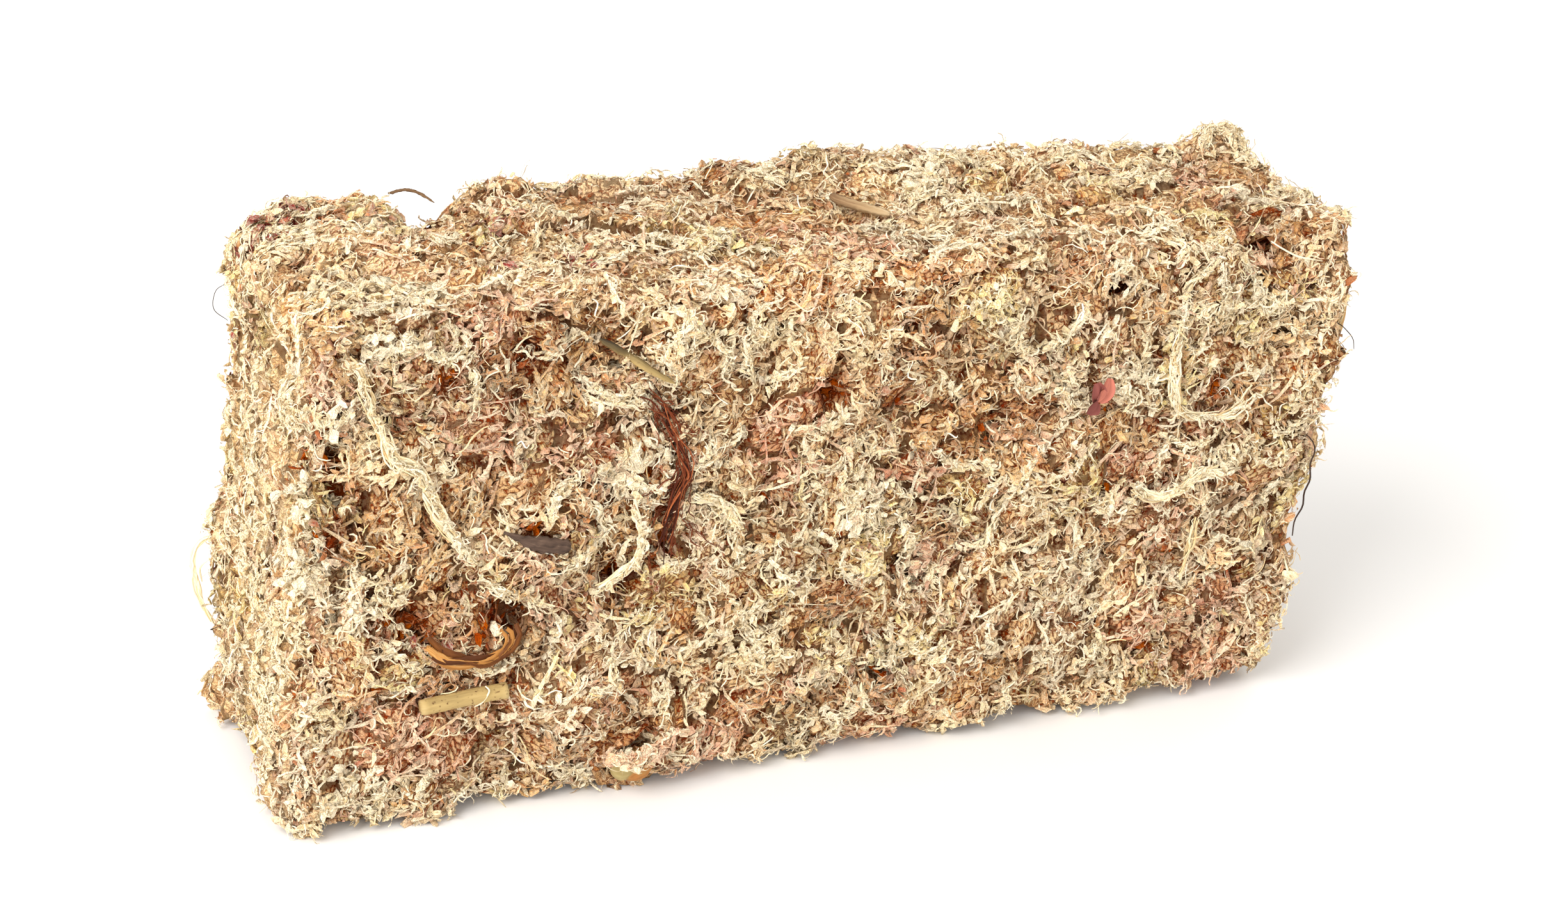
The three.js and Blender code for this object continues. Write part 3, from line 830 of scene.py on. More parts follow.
def makeBranches(count, density, settings):
    starts, outs = evenScatter(count, density)
    owner, _, _ = tuftAt(starts)
    radial = flatten(starts - tufts["places"][owner], outs)
    lie = flatten(tufts["lies"][owner], outs) * rng.choice([-1, 1], (count, 1))
    way = np.where(tufts["rosette"][owner][:, None], radial, lie)
    ends = outs[:, 0] ** 2
    way = turnAbout(flatten(way, outs), outs, rng.normal(0, 0.3, count) * (1 - 0.6 * ends))
    length = rng.uniform(*settings["length"], count)
    side = np.cross(outs, way)
    bend = rng.normal(0, settings["bend"], count) * (1 - 0.7 * ends)
    wave = rng.normal(0, settings["wave"], count) * (1 - 0.5 * ends)
    knots = []
    for share in (0, 1 / 3, 2 / 3, 1):
        swing = length * (bend * share ** 2 * 0.5 + wave * math.sin(2 * math.pi * share))
        knots.append(starts + way * (length * (share - 0.4))[:, None] + side * swing[:, None])
    spots, knotOuts = skin.nearest(np.stack(knots, 1).reshape(-1, 3))
    owners, lift, deep = mossLift(spots, knotOuts)
    calm = calmOf(outs)
    layer = rng.uniform(*settings["layer"], count) + settings["calmRise"] * calm
    arch = np.array([-0.5, 0.3, 0.3, -0.5]) * mm
    lift = lift + np.repeat(layer, 4) + np.tile(arch, count)
    spots = spots + knotOuts * np.minimum(lift, clearCap(spots))[:, None]
    own = rng.random(count) < settings["ownTone"]
    kinds = faceOf(knotOuts.reshape(count, 4, 3)[:, 1])
    mine = owners.reshape(count, 4)[:, 1]
    # painted shade: a branch that lies lower among the others is painted darker
    under = settings["layer"][1] + settings["calmRise"] * calm - layer
    return {
        "spots": spots.reshape(count, 4, 3),
        "outs": knotOuts.reshape(count, 4, 3),
        "deep": deep.reshape(count, 4),
        "calm": calm,
        "buriedShade": under / settings["darkening"] * (1 - 0.4 * calm),
        "owner": mine,
        "count": count,
        "radius": rng.uniform(*settings["radius"], count),
        "length": length,
        "size": np.array([settings["size"].get(kind, 1.0) for kind in kinds]),
        "tone": np.where(own, tufts["tone"][mine], drawTones(kinds)) + rng.normal(0, 0.03, count),
        "shade": tufts["light"][mine] * 0.85 + rng.normal(0, 0.3, count) * (1 - 0.5 * calm),
    }


def alongKnots(values, t):  # smooth way through four knots
    t = t[..., None] if values.ndim == 3 else t
    weights = [
        (1 - t) * (1 - 3 * t) * (1 - 1.5 * t),
        9 * t * (1 - t) * (2 - 3 * t) / 2,
        9 * t * (1 - t) * (3 * t - 1) / 2,
        t * (1 - 3 * t) * (1 - 1.5 * t),
    ]
    return sum(weight * values[:, i][:, None] for i, weight in enumerate(weights))


def roundBranch(branches, t, swing, flat):  # spots on the ropes, the way along and the way out there
    middles = alongKnots(branches["spots"], t)
    outs = unit(alongKnots(branches["outs"], t))
    way = unit(alongKnots(branches["spots"], t + 0.04) - middles)
    side = unit(np.cross(way, outs))
    radius = branches["radius"][:, None] * np.sqrt(np.clip(1.1 - (2 * t - 1) ** 2, 0.1, 1))
    across, above = side * np.sin(swing)[..., None], outs * np.cos(swing)[..., None]
    spots = middles + (across + above * flat) * radius[..., None]
    return spots, way, unit(across * flat + above)


def ribbons(paths, way, facing, half):  # points and faces of flat ribbons
    m, n = half.shape
    edge = np.cross(way, facing) * half[..., None]
    points = np.stack([paths - edge, paths + edge], 2).reshape(-1, 3)
    corner = np.arange(n - 1) * 2
    strip = np.concatenate([
        np.stack([corner, corner + 2, corner + 3], 1),
        np.stack([corner, corner + 3, corner + 1], 1),
    ])
    return points, (strip[None] + np.arange(m)[:, None, None] * n * 2).reshape(-1, 3)


def placed(spots, *moves):  # points moved from the spots by amounts along directions
    points = spots[:, None]
    for amounts, way in moves:
        points = points + amounts[..., None] * way[:, None]
    return points


def ribbonValues(values, steps):  # each ribbon's value for all its points
    return np.repeat(values, steps * 2)


def ribbonWidths(half):
    return (np.array([-1, 1])[None] * half.ravel()[:, None]).ravel() / mm


def ribbonCells(count, share):
    inside = np.stack([0.1 + 0.8 * np.repeat(share, 2), 0.2 + 0.6 * np.tile([0, 1], len(share))], 1)
    return cellGrid(count, inside)


def merged(values):  # what the branches have, in one row
    return values.reshape(-1, *values.shape[2:])


def shadeDepth(branches, t):  # how deep in the shade the parts of a branch are
    return np.clip(alongKnots(branches["deep"], t) * 0.8 + branches["buriedShade"][:, None], 0, 1.2)


def makeCurls(branches, settings):
    count, each, steps = branches["count"], settings["curls"], settings["steps"]
    shape = (count, each)
    t = rng.uniform(0, 1, shape)
    swing = rng.uniform(-1, 1, shape) * settings["around"] * 0.8
    spots, way, facing = [merged(part) for part in roundBranch(branches, t, swing, settings["flat"])]
    total = count * each
    side = np.cross(facing, way)
    share = np.linspace(0, 1, steps)
    curly = np.repeat(0.5 + 0.8 * tufts["curly"][branches["owner"]], each)[:, None]
    turn = rng.choice([-1, 1], (total, 1)) * rng.uniform(*settings["curlTurn"], (total, 1)) * curly
    heading = rng.normal(0, 0.7, (total, 1)) - turn * 0.3 + turn * share
    heading = heading + rng.normal(0, 0.6, (total, 1)) * np.sin(2 * np.pi * share)
    size = np.repeat(branches["size"], each)[:, None]
    long = rng.uniform(*settings["curlLong"], (total, 1)) * size
    x = np.cumsum(np.cos(heading), 1) * long / steps
    y = np.cumsum(np.sin(heading), 1) * long / steps
    rise = rng.uniform(*settings["curlRise"], (total, 1)) * size
    z = 0.1 * mm + rise * np.sin(np.pi * share * 0.85) + rng.normal(0, 0.06 * mm, (total, steps))
    paths = placed(spots, (x, way), (y, side), (z, facing))
    along = unit(np.gradient(paths, axis=1))
    up = unit(facing[:, None] - (facing[:, None] * along).sum(-1, keepdims=True) * along)
    up = turnAbout(up, along, rng.normal(0, 0.5, (total, 1)) + share * rng.normal(0, 0.9, (total, 1)))
    taper = 0.3 + 0.7 * np.sin(np.pi * (0.1 + 0.8 * share)) ** 0.7
    half = rng.uniform(*settings["curlHalf"], (total, 1)) * taper
    half = half * rng.uniform(0.8, 1.2, (total, steps)) * size
    points, faces = ribbons(paths, along, up, half)
    pale = rng.random(total) < settings["paleCurls"]
    tone = np.where(pale, rng.uniform(0.0, 0.14, total), np.repeat(branches["tone"], each))
    shade = np.repeat(branches["shade"], each) * 0.5 + rng.normal(0, 0.4, total)
    # painted shade of the curls, from the creases and hollows and from how low their branch lies
    deep = alongKnots(branches["deep"], t) * 0.6 + branches["buriedShade"][:, None] * 0.6
    paints = {
        "tone": ribbonValues(tone, steps),
        "shade": ribbonValues(shade, steps),
        "deep": ribbonValues(np.clip(deep, 0, 1.2).ravel(), steps),
        "tip": np.ones(total * steps * 2),
        "rim": np.tile([0.1, 0.6], total * steps) * ribbonValues(np.where(pale, 1.0, 0.4), steps),
        "run": ribbonValues(long.ravel() / mm, steps) * np.tile(np.repeat(share, 2), total),
        "wide": ribbonWidths(half),
        "seed": ribbonValues(rng.uniform(0, 200, total), steps),
    }
    return points, faces, paints, ribbonCells(total, share)


def makeLeaves(branches, settings):
    count, each = branches["count"], settings["leaves"]
    shape = (count, each)
    curly = (0.5 + tufts["curly"][branches["owner"]])[:, None]
    t = np.clip((np.arange(each)[None] + rng.uniform(-0.3, 0.3, shape)) / (each - 1), 0, 1)
    columns = np.array([0, 0.7, -0.7, 0.25, -0.25, 1, -1])  # where round a branch its leaves sit in turn
    swing = columns[np.arange(each) % len(columns)] * settings["around"] + rng.normal(0, 0.2, shape)
    spots, way, facing = roundBranch(branches, t, swing, settings["flat"])
    ends = branches["outs"][:, 1, 0][:, None] ** 2
    wild = rng.random(shape) < settings["wild"] * curly * (1 - 0.6 * ends)
    wildLean = rng.uniform(0.1, 0.9, shape)
    lean = np.where(wild, wildLean, rng.uniform(*settings["lean"], shape) * (1 - 0.6 * ends))
    forward = unit(way * np.cos(lean)[..., None] + facing * np.sin(lean)[..., None])
    yaw = rng.normal(0, 0.22, shape) + np.sign(swing) * rng.uniform(0, 0.45, shape)
    yaw = np.where(wild, rng.uniform(-1.8, 1.8, shape), yaw * (1 - 0.4 * ends))
    forward = turnAbout(forward, facing, yaw)
    up = unit(facing - (facing * forward).sum(-1, keepdims=True) * forward)
    up = turnAbout(up, forward, rng.normal(0, 0.22, shape) + wild * rng.normal(0, 0.7, shape))
    leafLong = rng.uniform(*settings["leafLong"], shape) * branches["size"][:, None]
    stray = rng.random(shape) < settings["strayTone"]
    tone = branches["tone"][:, None] + rng.normal(0, 0.025, shape)
    wide = leafLong * rng.uniform(*settings["leafRatio"], shape)
    lengthBend = rng.normal(-2.0, 0.7, shape) * settings["lengthBend"] * curly
    sideBend = rng.normal(0, 1, shape) * settings["sideBend"] * curly
    hollowed = rng.random(shape) < 0.45
    cup = np.where(hollowed, rng.normal(-1.0, 0.4, shape), rng.normal(0.9, 0.4, shape))
    margin = rng.uniform(0.0, 1.0, shape)
    tone = np.where(stray, rng.uniform(0.02, 0.24, shape), tone)
    fleck = rng.normal(0, 0.22, shape) * (1 - 0.4 * branches["calm"][:, None])
    leaves = {
        "spots": spots,
        "forward": forward,
        "up": up,
        "long": leafLong,
        "wide": wide,
        "lengthBend": lengthBend,
        "sideBend": sideBend,
        "cup": cup,
        "margin": margin,
        "tone": tone,
        "shade": branches["shade"][:, None] + fleck,
        "deep": shadeDepth(branches, t),
    }
    leaves = {key: merged(values) for key, values in leaves.items()}
    return formLeaves(leaves, leafForm, settings["crumple"])


def formLeaves(leaves, form, crumple):  # points, faces, paints and map cells of like leaves
    count, shape = len(leaves["spots"]), form["points"]
    each = len(shape)
    wide, long = leaves["wide"][:, None], leaves["long"][:, None]
    s = np.clip(shape[None, :, 0] + rng.normal(0, 0.07, (count, each)), 0, 1.1)
    rise, bend = leaves["lengthBend"][:, None], leaves["sideBend"][:, None] * s
    across = shape[None, :, 1] * rng.uniform(0.75, 1.15, (count, each))
    across = (across + rng.normal(0, 0.04, (count, each))) * wide
    shorter = 1 - rise ** 2 * s ** 2 / 8
    x = s * np.sinc(bend / np.pi) * shorter * long - np.sin(bend) * across
    y = s * np.sin(bend / 2) * np.sinc(bend / (2 * np.pi)) * long + np.cos(bend) * across
    dome = shape[None, :, 2] * leaves["cup"][:, None] * 2 + rng.normal(0, crumple, (count, each))
    z = dome * wide + rise * s ** 2 / 2 * long
    side = np.cross(leaves["up"], leaves["forward"])
    points = placed(leaves["spots"], (x, leaves["forward"]), (y, side), (z, leaves["up"])).reshape(-1, 3)
    faces = (form["faces"][None] + np.arange(count)[:, None, None] * each).reshape(-1, 3)
    inside = np.stack([0.1 + 0.8 * shape[:, 0], 0.5 + 0.8 * shape[:, 1]], 1)
    paints = {
        "tone": np.repeat(leaves["tone"], each),
        "shade": np.repeat(leaves["shade"], each),
        "deep": np.repeat(leaves["deep"], each),
        "tip": np.tile(shape[:, 0] ** 2, count),
        "rim": (leaves["margin"][:, None] * form["rim"][None]).ravel(),
        "run": (s * long).ravel() / mm,
        "wide": across.ravel() / mm,
        "seed": np.repeat(rng.uniform(0, 200, count), each),
    }
    return points, faces, paints, cellGrid(count, inside)


def makeSpines(branches, settings):
    count, steps = branches["count"], settings["spineSteps"]
    share = np.linspace(0, 1, steps)
    first = rng.uniform(-0.1, 0.3, (count, 1))
    t = first + rng.uniform(0.6, 0.9, (count, 1)) * share
    swing = rng.normal(0, 0.5, (count, 1)) + rng.normal(0, 0.6, (count, 1)) * share
    spots, way, facing = roundBranch(branches, t, swing, settings["flat"])
    phase = rng.uniform(0, 6.3, (count, 1))
    sway = np.sin(phase + rng.uniform(3, 9, (count, 1)) * share) * 0.45 * mm
    paths = spots + np.cross(way, facing) * sway[..., None] + facing * 0.15 * mm
    taper = (0.2 + 0.8 * np.sin(np.pi * share) ** 0.6) * rng.uniform(0.7, 1.3, (count, steps))
    half = rng.uniform(*settings["spineHalf"], (count, 1)) * taper * branches["size"][:, None]
    points, faces = ribbons(paths, unit(np.gradient(paths, axis=1)), facing, half)
    points = points + rng.normal(0, 0.05 * mm, points.shape)
    paints = {
        "tone": ribbonValues(branches["tone"] + rng.normal(-0.03, 0.04, count), steps),
        "shade": ribbonValues(branches["shade"] + rng.normal(0, 0.3, count), steps),
        "deep": np.repeat(shadeDepth(branches, t), 2),
        "tip": np.full(count * steps * 2, 0.7),
        "rim": np.tile([0.7, 0.2], count * steps),
        "run": ribbonValues(branches["length"] / mm, steps) * np.repeat(t.ravel(), 2),
        "wide": ribbonWidths(half),
        "seed": ribbonValues(rng.uniform(0, 200, count), steps),
    }
    return points, faces, paints, ribbonCells(count, share)


def mossPiece(name, branches, settings):
    kinds = [make(branches, settings) for make in (makeSpines, makeCurls, makeLeaves)]
    firsts = np.cumsum([0] + [len(kind[0]) for kind in kinds])
    points = np.concatenate([kind[0] for kind in kinds])
    faces = np.concatenate([kind[1] + first for kind, first in zip(kinds, firsts)])
    paints = {key: np.concatenate([kind[2][key] for kind in kinds]) for key in kinds[0][2]}
    strips = ((0.0, 0.15), (0.15, 0.3), (0.45, 0.55))  # start and width of each kind on the map
    cells = [kind[3] * (wide, 1) + (start, 0) for kind, (start, wide) in zip(kinds, strips)]
    piece = makePiece(name, points, faces, mossLook, paints, np.concatenate(cells))
    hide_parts("moss_block")
    print(name, len(faces), "faces")


def makeMossLook():
    look = Look("dry moss leaf")
    rim, tip, deep = look.attribute("rim"), look.attribute("tip"), look.attribute("deep")
    mottle = look.noise(900, 2.0)
    run, wide = 0.45 * look.attribute("run"), 3.6 * look.attribute("wide")
    streak = look.noise(1.0, 2.0, look.vector(run, wide, look.attribute("seed")))
    crinkle = look.noise(1700, 3.0)
    fold = look.threads(crinkle, 10)
    colour = look.ramp(look.attribute("tone") + 0.1 * mottle - 0.05, toneStops)
    pale = (0.55 * rim + 0.4 * fold + 0.1 * tip + 1.8 * (streak - 0.52)).held()
    colour = look.mix(0.75 * pale, colour, paint(paleLeaf))
    # painted shade in the valleys of the streaks and crinkles
    furrowShade = (2.2 * (0.45 - streak) + 1.6 * (0.45 - crinkle)).held()
    # painted shade: darker in creases, hollows and low branches, at each leaf's base under the leaf before,
    # and in the furrows
    shadowed = (1.25 * deep + 0.2 * (1 - tip) + 0.7 * furrowShade - 0.3).held()
    colour = look.tinted(shadowed, colour, (176, 90, 10))
    look.feed("Base Color", look.lit(colour, 1.07 + 0.13 * look.attribute("shade")))
    look.feed("Roughness", 0.85)
    look.feed("Specular IOR Level", 0.08)
    look.bump(0.6 * streak + crinkle + 0.4 * fold, 1.0, 0.4 * mm)
    return look


mossLook = makeMossLook()

largeBranchSettings = {  # for the faces that the photo does not show
    **branchSettings,
    "length": (6 * mm, 12 * mm),
    "radius": (0.6 * mm, 1.2 * mm),
    "leaves": 8,
    "leafLong": (1.6 * mm, 3.2 * mm),
    "curls": 4,
    "curlLong": (1.6 * mm, 5.0 * mm),
}
# The moss in pieces by face: how many branches, their settings, the way the face looks and its half
mossParts = {
    "moss_front_left": (980, branchSettings, (0, -1, 0), "left"),
    "moss_front_right": (980, branchSettings, (0, -1, 0), "right"),
    "moss_top": (840, branchSettings, (0, 0, 1), "whole"),
    "moss_left_end": (440, branchSettings, (-1, 0, 0), "whole"),
    "moss_right_end": (310, largeBranchSettings, (1, 0, 0), "whole"),
    "moss_back": (770, largeBranchSettings, (0, 1, 0), "whole"),
    "moss_underside": (140, largeBranchSettings, (0, 0, -1), "whole"),
}
faceLimit = 0.62  # how nearly a spot has to look the way of its face


def onFace(way, half):  # where the branches of a face may start
    def density(normals, places):
        isOn = normals @ np.array(way, float) > faceLimit
        if half != "whole":
            isOn &= (places[:, 0] >= blockShift[0]) == (half == "right")
        return isOn + 1e-9
    return density


allBranches = []
for name, (count, settings, way, half) in mossParts.items():
    branches = makeBranches(count, onFace(way, half), settings)
    mossPiece(name, branches, settings)
    allBranches.append(branches)

# Rods: thin fibres swept along lines, as flat ribbons or with a ridged back
ribbonSection = np.array([(-1.0, 0.0), (1.0, 0.0)])
ridgeSection = np.array([(-1.0, -0.6), (0.0, 0.9), (1.0, -0.6)])


def sweep(paths, outs, widths, section, depths=None, closed=True):  # a section drawn along each path
    depths = widths if depths is None else depths
    way = unit(np.gradient(paths, axis=1))
    across = unit(np.cross(way, outs))
    up = np.cross(across, way)
    aside = (section[:, 0] * widths[..., None])[..., None] * across[:, :, None]
    above = (section[:, 1] * depths[..., None])[..., None] * up[:, :, None]
    points = (paths[:, :, None] + (aside + above)).reshape(-1, 3)
    m, n = paths.shape[:2]
    k = len(section)
    here = np.arange(k if closed else k - 1)
    ahead = (here + 1) % k
    first = (np.arange(n - 1) * k)[:, None]
    strip = np.stack([first + here, first + k + here, first + k + ahead, first + ahead], -1).reshape(-1, 4)
    faces = (strip[None] + np.arange(m)[:, None, None] * n * k).reshape(-1, 4)
    return points, faces


def grainLook(name, stops, spread=0.3, fine=3.0, roughness=0.8, depth=0.1 * mm, specks=0.0):
    look = Look(name)
    run, wide = 0.25 * look.attribute("run"), fine * look.attribute("wide")
    grain = look.noise(1.0, 3.0, look.vector(run, wide, look.attribute("seed")))
    colour = look.ramp(look.attribute("tone") + 2 * spread * (grain - 0.5), stops)
    if specks:
        dots = (specks * (look.noise(1600, 2.0) - 0.6)).held()
        colour = look.mix(dots, colour, paint((96, 66, 38)))
    look.feed("Base Color", look.lit(colour, 1.0 + 0.15 * look.attribute("shade")))
    look.feed("Roughness", roughness)
    look.feed("Specular IOR Level", 0.25)
    look.bump(grain, 0.8, depth)
    return look


def surfacePaints(tone, shade, shares, around, long, wide):  # for m rods of n rings of k points
    m, n, k = len(long), len(shares), len(around)
    each = n * k
    return {
        "tone": np.repeat(tone, each) if np.ndim(tone) == 1 else tone.ravel(),
        "shade": np.repeat(shade, each),
        "run": np.repeat(long, each) / mm * np.tile(np.repeat(shares, k), m),
        "wide": np.repeat(wide, each) / mm * np.tile(around, m * n),
        "seed": np.repeat(rng.uniform(0, 200, m), each),
    }


def rodPiece(name, rods, look, node, section=ridgeSection):
    paths, outs, widths = rods["paths"], rods["outs"], rods["widths"]
    points, faces = sweep(paths, outs, widths, section, closed=False)
    m, n = widths.shape
    shares, around = np.linspace(0, 1, n), np.linspace(-1, 1, len(section))
    long = np.linalg.norm(np.diff(paths, axis=1), axis=2).sum(1)
    paints = surfacePaints(rods["tone"], rods["shade"], shares, around, long, widths.mean(1))
    inside = np.stack([0.1 + 0.8 * np.repeat(shares, len(section)), 0.5 + 0.3 * np.tile(around, n)], 1)
    piece = makePiece(name, points, faces, look, paints, cellGrid(m, inside))
    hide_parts(node)


def joinRods(groups):  # several groups of rods or branches as one
    joined = {}
    for key, first in groups[0].items():
        parts = [group[key] for group in groups]
        joined[key] = sum(parts) if np.ndim(first) == 0 else np.concatenate(parts)
    return joined


# Thin pale fibres that lie over the leaves
fibreSettings = {
    "each": 0.35,  # fibres for each branch
    "steps": 10,
    "cover": (0.2, 0.6),  # how much of its branch a fibre follows
    "aside": 0.8 * mm,
    "lift": (0.3 * mm, 0.9 * mm),
    "wide": (0.06 * mm, 0.14 * mm),
    "wave": (0.2 * mm, 0.7 * mm),
    "turn": 0.5,
    "tone": (0.0, 0.75),
}
paleStops = [(0.0, (255, 249, 226)), (0.4, (250, 234, 194)), (0.7, (232, 204, 152)), (1.0, (196, 154, 102))]
paleLook = grainLook("pale fibre", paleStops)


def makeFibres(branches, settings):
    count, steps = round(branches["count"] * settings["each"]), settings["steps"]
    picked = rng.integers(0, branches["count"], count)
    share = np.linspace(0, 1, steps)
    cover = rng.uniform(*settings["cover"], (count, 1))
    t = rng.uniform(-0.1, 0.6, (count, 1)) + cover * share
    paths = alongKnots(branches["spots"][picked], np.clip(t, -0.2, 1.2))
    outs = unit(alongKnots(branches["outs"][picked], np.clip(t, 0, 1)))
    middle = paths.mean(1, keepdims=True)
    paths = middle + turnAbout(paths - middle, outs, rng.normal(0, settings["turn"], (count, 1)))
    across = unit(np.cross(unit(np.gradient(paths, axis=1)), outs))
    phase, pace = rng.uniform(0, 6.3, (count, 1)), rng.uniform(3, 11, (count, 1))
    sway = np.sin(phase + pace * share) * rng.uniform(*settings["wave"], (count, 1))
    sway = sway + rng.normal(0, settings["aside"], (count, 1)) + rng.normal(0, 0.05 * mm, (count, steps))
    lift = rng.uniform(*settings["lift"], (count, 1)) + 0.25 * mm * np.sin(phase * 2 + pace * 0.7 * share)
    lift = lift + rng.normal(0, 0.5 * mm, (count, 1)) * (1 - share) ** 3
    lift = lift + rng.normal(0, 0.5 * mm, (count, 1)) * share ** 3
    paths = paths + across * sway[..., None] + outs * lift[..., None]
    taper = 0.35 + 0.65 * np.sin(np.pi * (0.08 + 0.84 * share)) ** 0.6
    twist = rng.normal(0, 0.5, (count, 1)) + share * rng.normal(0, 1.2, (count, 1))
    return {
        "paths": paths,
        "outs": turnAbout(outs, unit(np.gradient(paths, axis=1)), twist),
        "widths": rng.uniform(*settings["wide"], (count, 1)) * taper,
        "tone": rng.uniform(*settings["tone"], count),
        "shade": rng.normal(0, 0.4, count),
    }


fibres = joinRods([makeFibres(part, fibreSettings) for part in allBranches])
rodPiece("pale_fibres", fibres, paleLook, "moss_block", ribbonSection)
print("fibres")

# Stems: bundles of fibres that run together, fray and part at their ends
plainBundle = {
    "steps": 12,
    "cover": (0.4, 1.0),  # how much of the line each fibre follows
    "twist": 0.6,
    "fray": 0.8,
    "wave": 0.15 * mm,
    "rod": (0.1 * mm, 0.24 * mm),  # half width of a fibre
    "mixed": 0.14,  # how far the tones differ
}


def bundle(line, outs, ownSettings):
    settings = {**plainBundle, **ownSettings}
    count, steps = settings["fibres"], settings["steps"]
    cover = rng.uniform(*settings["cover"], count)
    start = rng.uniform(0, 1, count) * (1 - cover)
    share = start[:, None] + cover[:, None] * np.linspace(0, 1, steps)[None]
    paths = np.stack([evenSteps(line, row) for row in share])
    outs = unit(np.stack([evenSteps(outs, row) for row in share]))
    across = unit(np.cross(unit(np.gradient(paths, axis=1)), outs))
    twist = settings["twist"] * rng.choice([-1, 1], (count, 1))
    spin = rng.uniform(0, 2 * np.pi, (count, 1)) + share * twist * 2 * np.pi
    spin = spin + np.cumsum(rng.normal(0, 0.6 * settings["twist"], (count, steps)), 1)
    loose = 1 + settings["fray"] * np.abs(2 * share - 1) ** 5 * rng.uniform(0, 2, (count, 1))
    swell = 1 + 0.3 * np.sin(share * 9 + rng.uniform(0, 6.3))
    away = settings["radius"] * np.sqrt(rng.random((count, 1))) * loose * swell
    pace = share * rng.uniform(8, 22, (count, 1))
    wave = settings["wave"] * np.sin(pace + rng.uniform(0, 6.3, (count, 1)))
    aside, above = np.cos(spin) * away + wave, np.sin(spin) * away * 0.5
    paths = paths + across * aside[..., None] + outs * above[..., None]
    taper = 0.3 + 0.7 * np.sin(np.pi * np.linspace(0.06, 0.94, steps))[None] ** 0.5
    tilt = rng.normal(0, 0.5, (count, 1)) * np.ones(steps)
    return {
        "paths": paths,
        "outs": turnAbout(outs, unit(np.gradient(paths, axis=1)), tilt),
        "widths": rng.uniform(*settings["rod"], (count, 1)) * taper,
        "tone": rng.normal(settings["tone"], settings["mixed"], count),
        "shade": rng.normal(0, 0.6, count),
    }


stems = {
    "pale_stem_left": {
        "radius": 0.95 * mm, "fibres": 40, "tone": 0.5, "mixed": 0.25, "wave": 0.4 * mm,
        "cover": (0.12, 0.45),
    },
    "pale_stem_right": {
        "radius": 0.8 * mm, "fibres": 30, "tone": 0.5, "mixed": 0.25, "wave": 0.4 * mm,
        "cover": (0.15, 0.5),
    },
    "pale_stem_low": {"radius": 0.85 * mm, "fibres": 26, "tone": 0.4, "wave": 0.3 * mm, "cover": (0.3, 0.8)},
    "pale_stem_drop": {"radius": 0.8 * mm, "fibres": 18, "tone": 0.55, "cover": (0.3, 0.8)},
    "pale_stem_middle": {"radius": 0.9 * mm, "fibres": 22, "tone": 0.3, "fray": 1.4, "wave": 0.25 * mm},
    "arc_stem": {"radius": 0.6 * mm, "fibres": 16, "tone": 0.35, "wave": 0.2 * mm},
}
for name, settings in stems.items():
    slot = "tan_stem" if name == "pale_stem_drop" else "pale_stem"
    rodPiece(name, bundle(*lines[name], settings), paleLook, name)
print("stems")

# Loose strands: thinner bundles of the same fibres, some at listed places and the rest along the lie
frontStrands = [  # (x, z) on the front
    [(36.6, 57.2), (33.1, 52.3), (30.5, 45.4), (29.6, 39.1), (23.1, 38.4)],
    [(9.9, 48.0), (14.1, 41.5), (15.7, 35.8)],
    [(12.1, 26.5), (13.4, 19.5), (11.4, 16.0)],
    [(-26.8, 54.2), (-22.5, 52.2), (-18.8, 46.8), (-17.2, 40.9)],
    [(-30.6, 86.5), (-26.5, 83.3), (-23.2, 78.5)],
    [(-47.4, 58.9), (-43.3, 54.9), (-40.0, 47.6)],
    [(18.8, 85.4), (22.8, 81.6), (29.0, 79.2)],
    [(42.2, 44.4), (46.3, 38.4), (46.2, 30.9)],
    [(-10.4, 23.1), (-14.5, 28.6), (-17.5, 35.0)],
    [(50.0, 68.2), (52.3, 62.0), (56.7, 57.9)],
    [(15.6, 58.0), (19.5, 55.1), (25.6, 54.2)],
    [(24.4, 57.1), (26.5, 53.4), (28.5, 51.6)],
    [(-48.1, 79.0), (-42.3, 74.0), (-36.8, 72.2)],
    [(0.7, 22.6), (3.3, 25.9), (6.6, 27.9)],
    [(28.6, 82.1), (28.1, 77.6), (32.4, 72.5)],
    [(-62.5, 44.3), (-55.7, 39.9), (-49.0, 37.2)],
    [(-81.7, 50.4), (-81.9, 43.6), (-80.9, 38.9)],
    [(-74.5, 33.4), (-65.8, 30.3), (-59.2, 27.5)],
    [(-51.8, 52.1), (-50.7, 57.6), (-47.7, 60.6)],
    [(66.1, 87.7), (60.8, 83.0), (60.0, 77.2), (59.0, 72.6)],
    [(69.8, 87.9), (73.9, 82.9), (75.4, 78.0)],
    [(-14.5, 88.2), (-18.6, 85.3), (-19.2, 80.9)],
]
topStrands = [  # (x, y) on the top
    [(-31.3, 1.1), (-25.7, -1.3), (-21.5, -4.7)],
    [(16.8, 1.6), (24.5, 2.8), (31.9, -1.3)],
    [(49.2, 12.9), (57.3, 14.1), (63.9, 10.0)],
    [(-7.0, 18.2), (-2.8, 12.1), (3.1, 12.2)],
]
looseSettings = {
    "count": 330,
    "steps": 6,
    "stride": (1.0 * mm, 2.2 * mm),
    "lift": 0.7 * mm,
    "veer": 0.45,
    "turn": 0.5,
    "bundled": 110,  # how many of the strands have a bundle of fibres too
    "dull": (0.4, 0.75),  # tones of moss with few pale strands
    "dullShare": 0.3,
}
endSettings = {  # the upright strands of the two ends
    "count": 60,
    "steps": 9,
    "stride": (1.6 * mm, 2.6 * mm),
    "lift": 0.6 * mm,
    "veer": 0.06,
    "turn": 0.15,
}
placedLift = 0.8 * mm
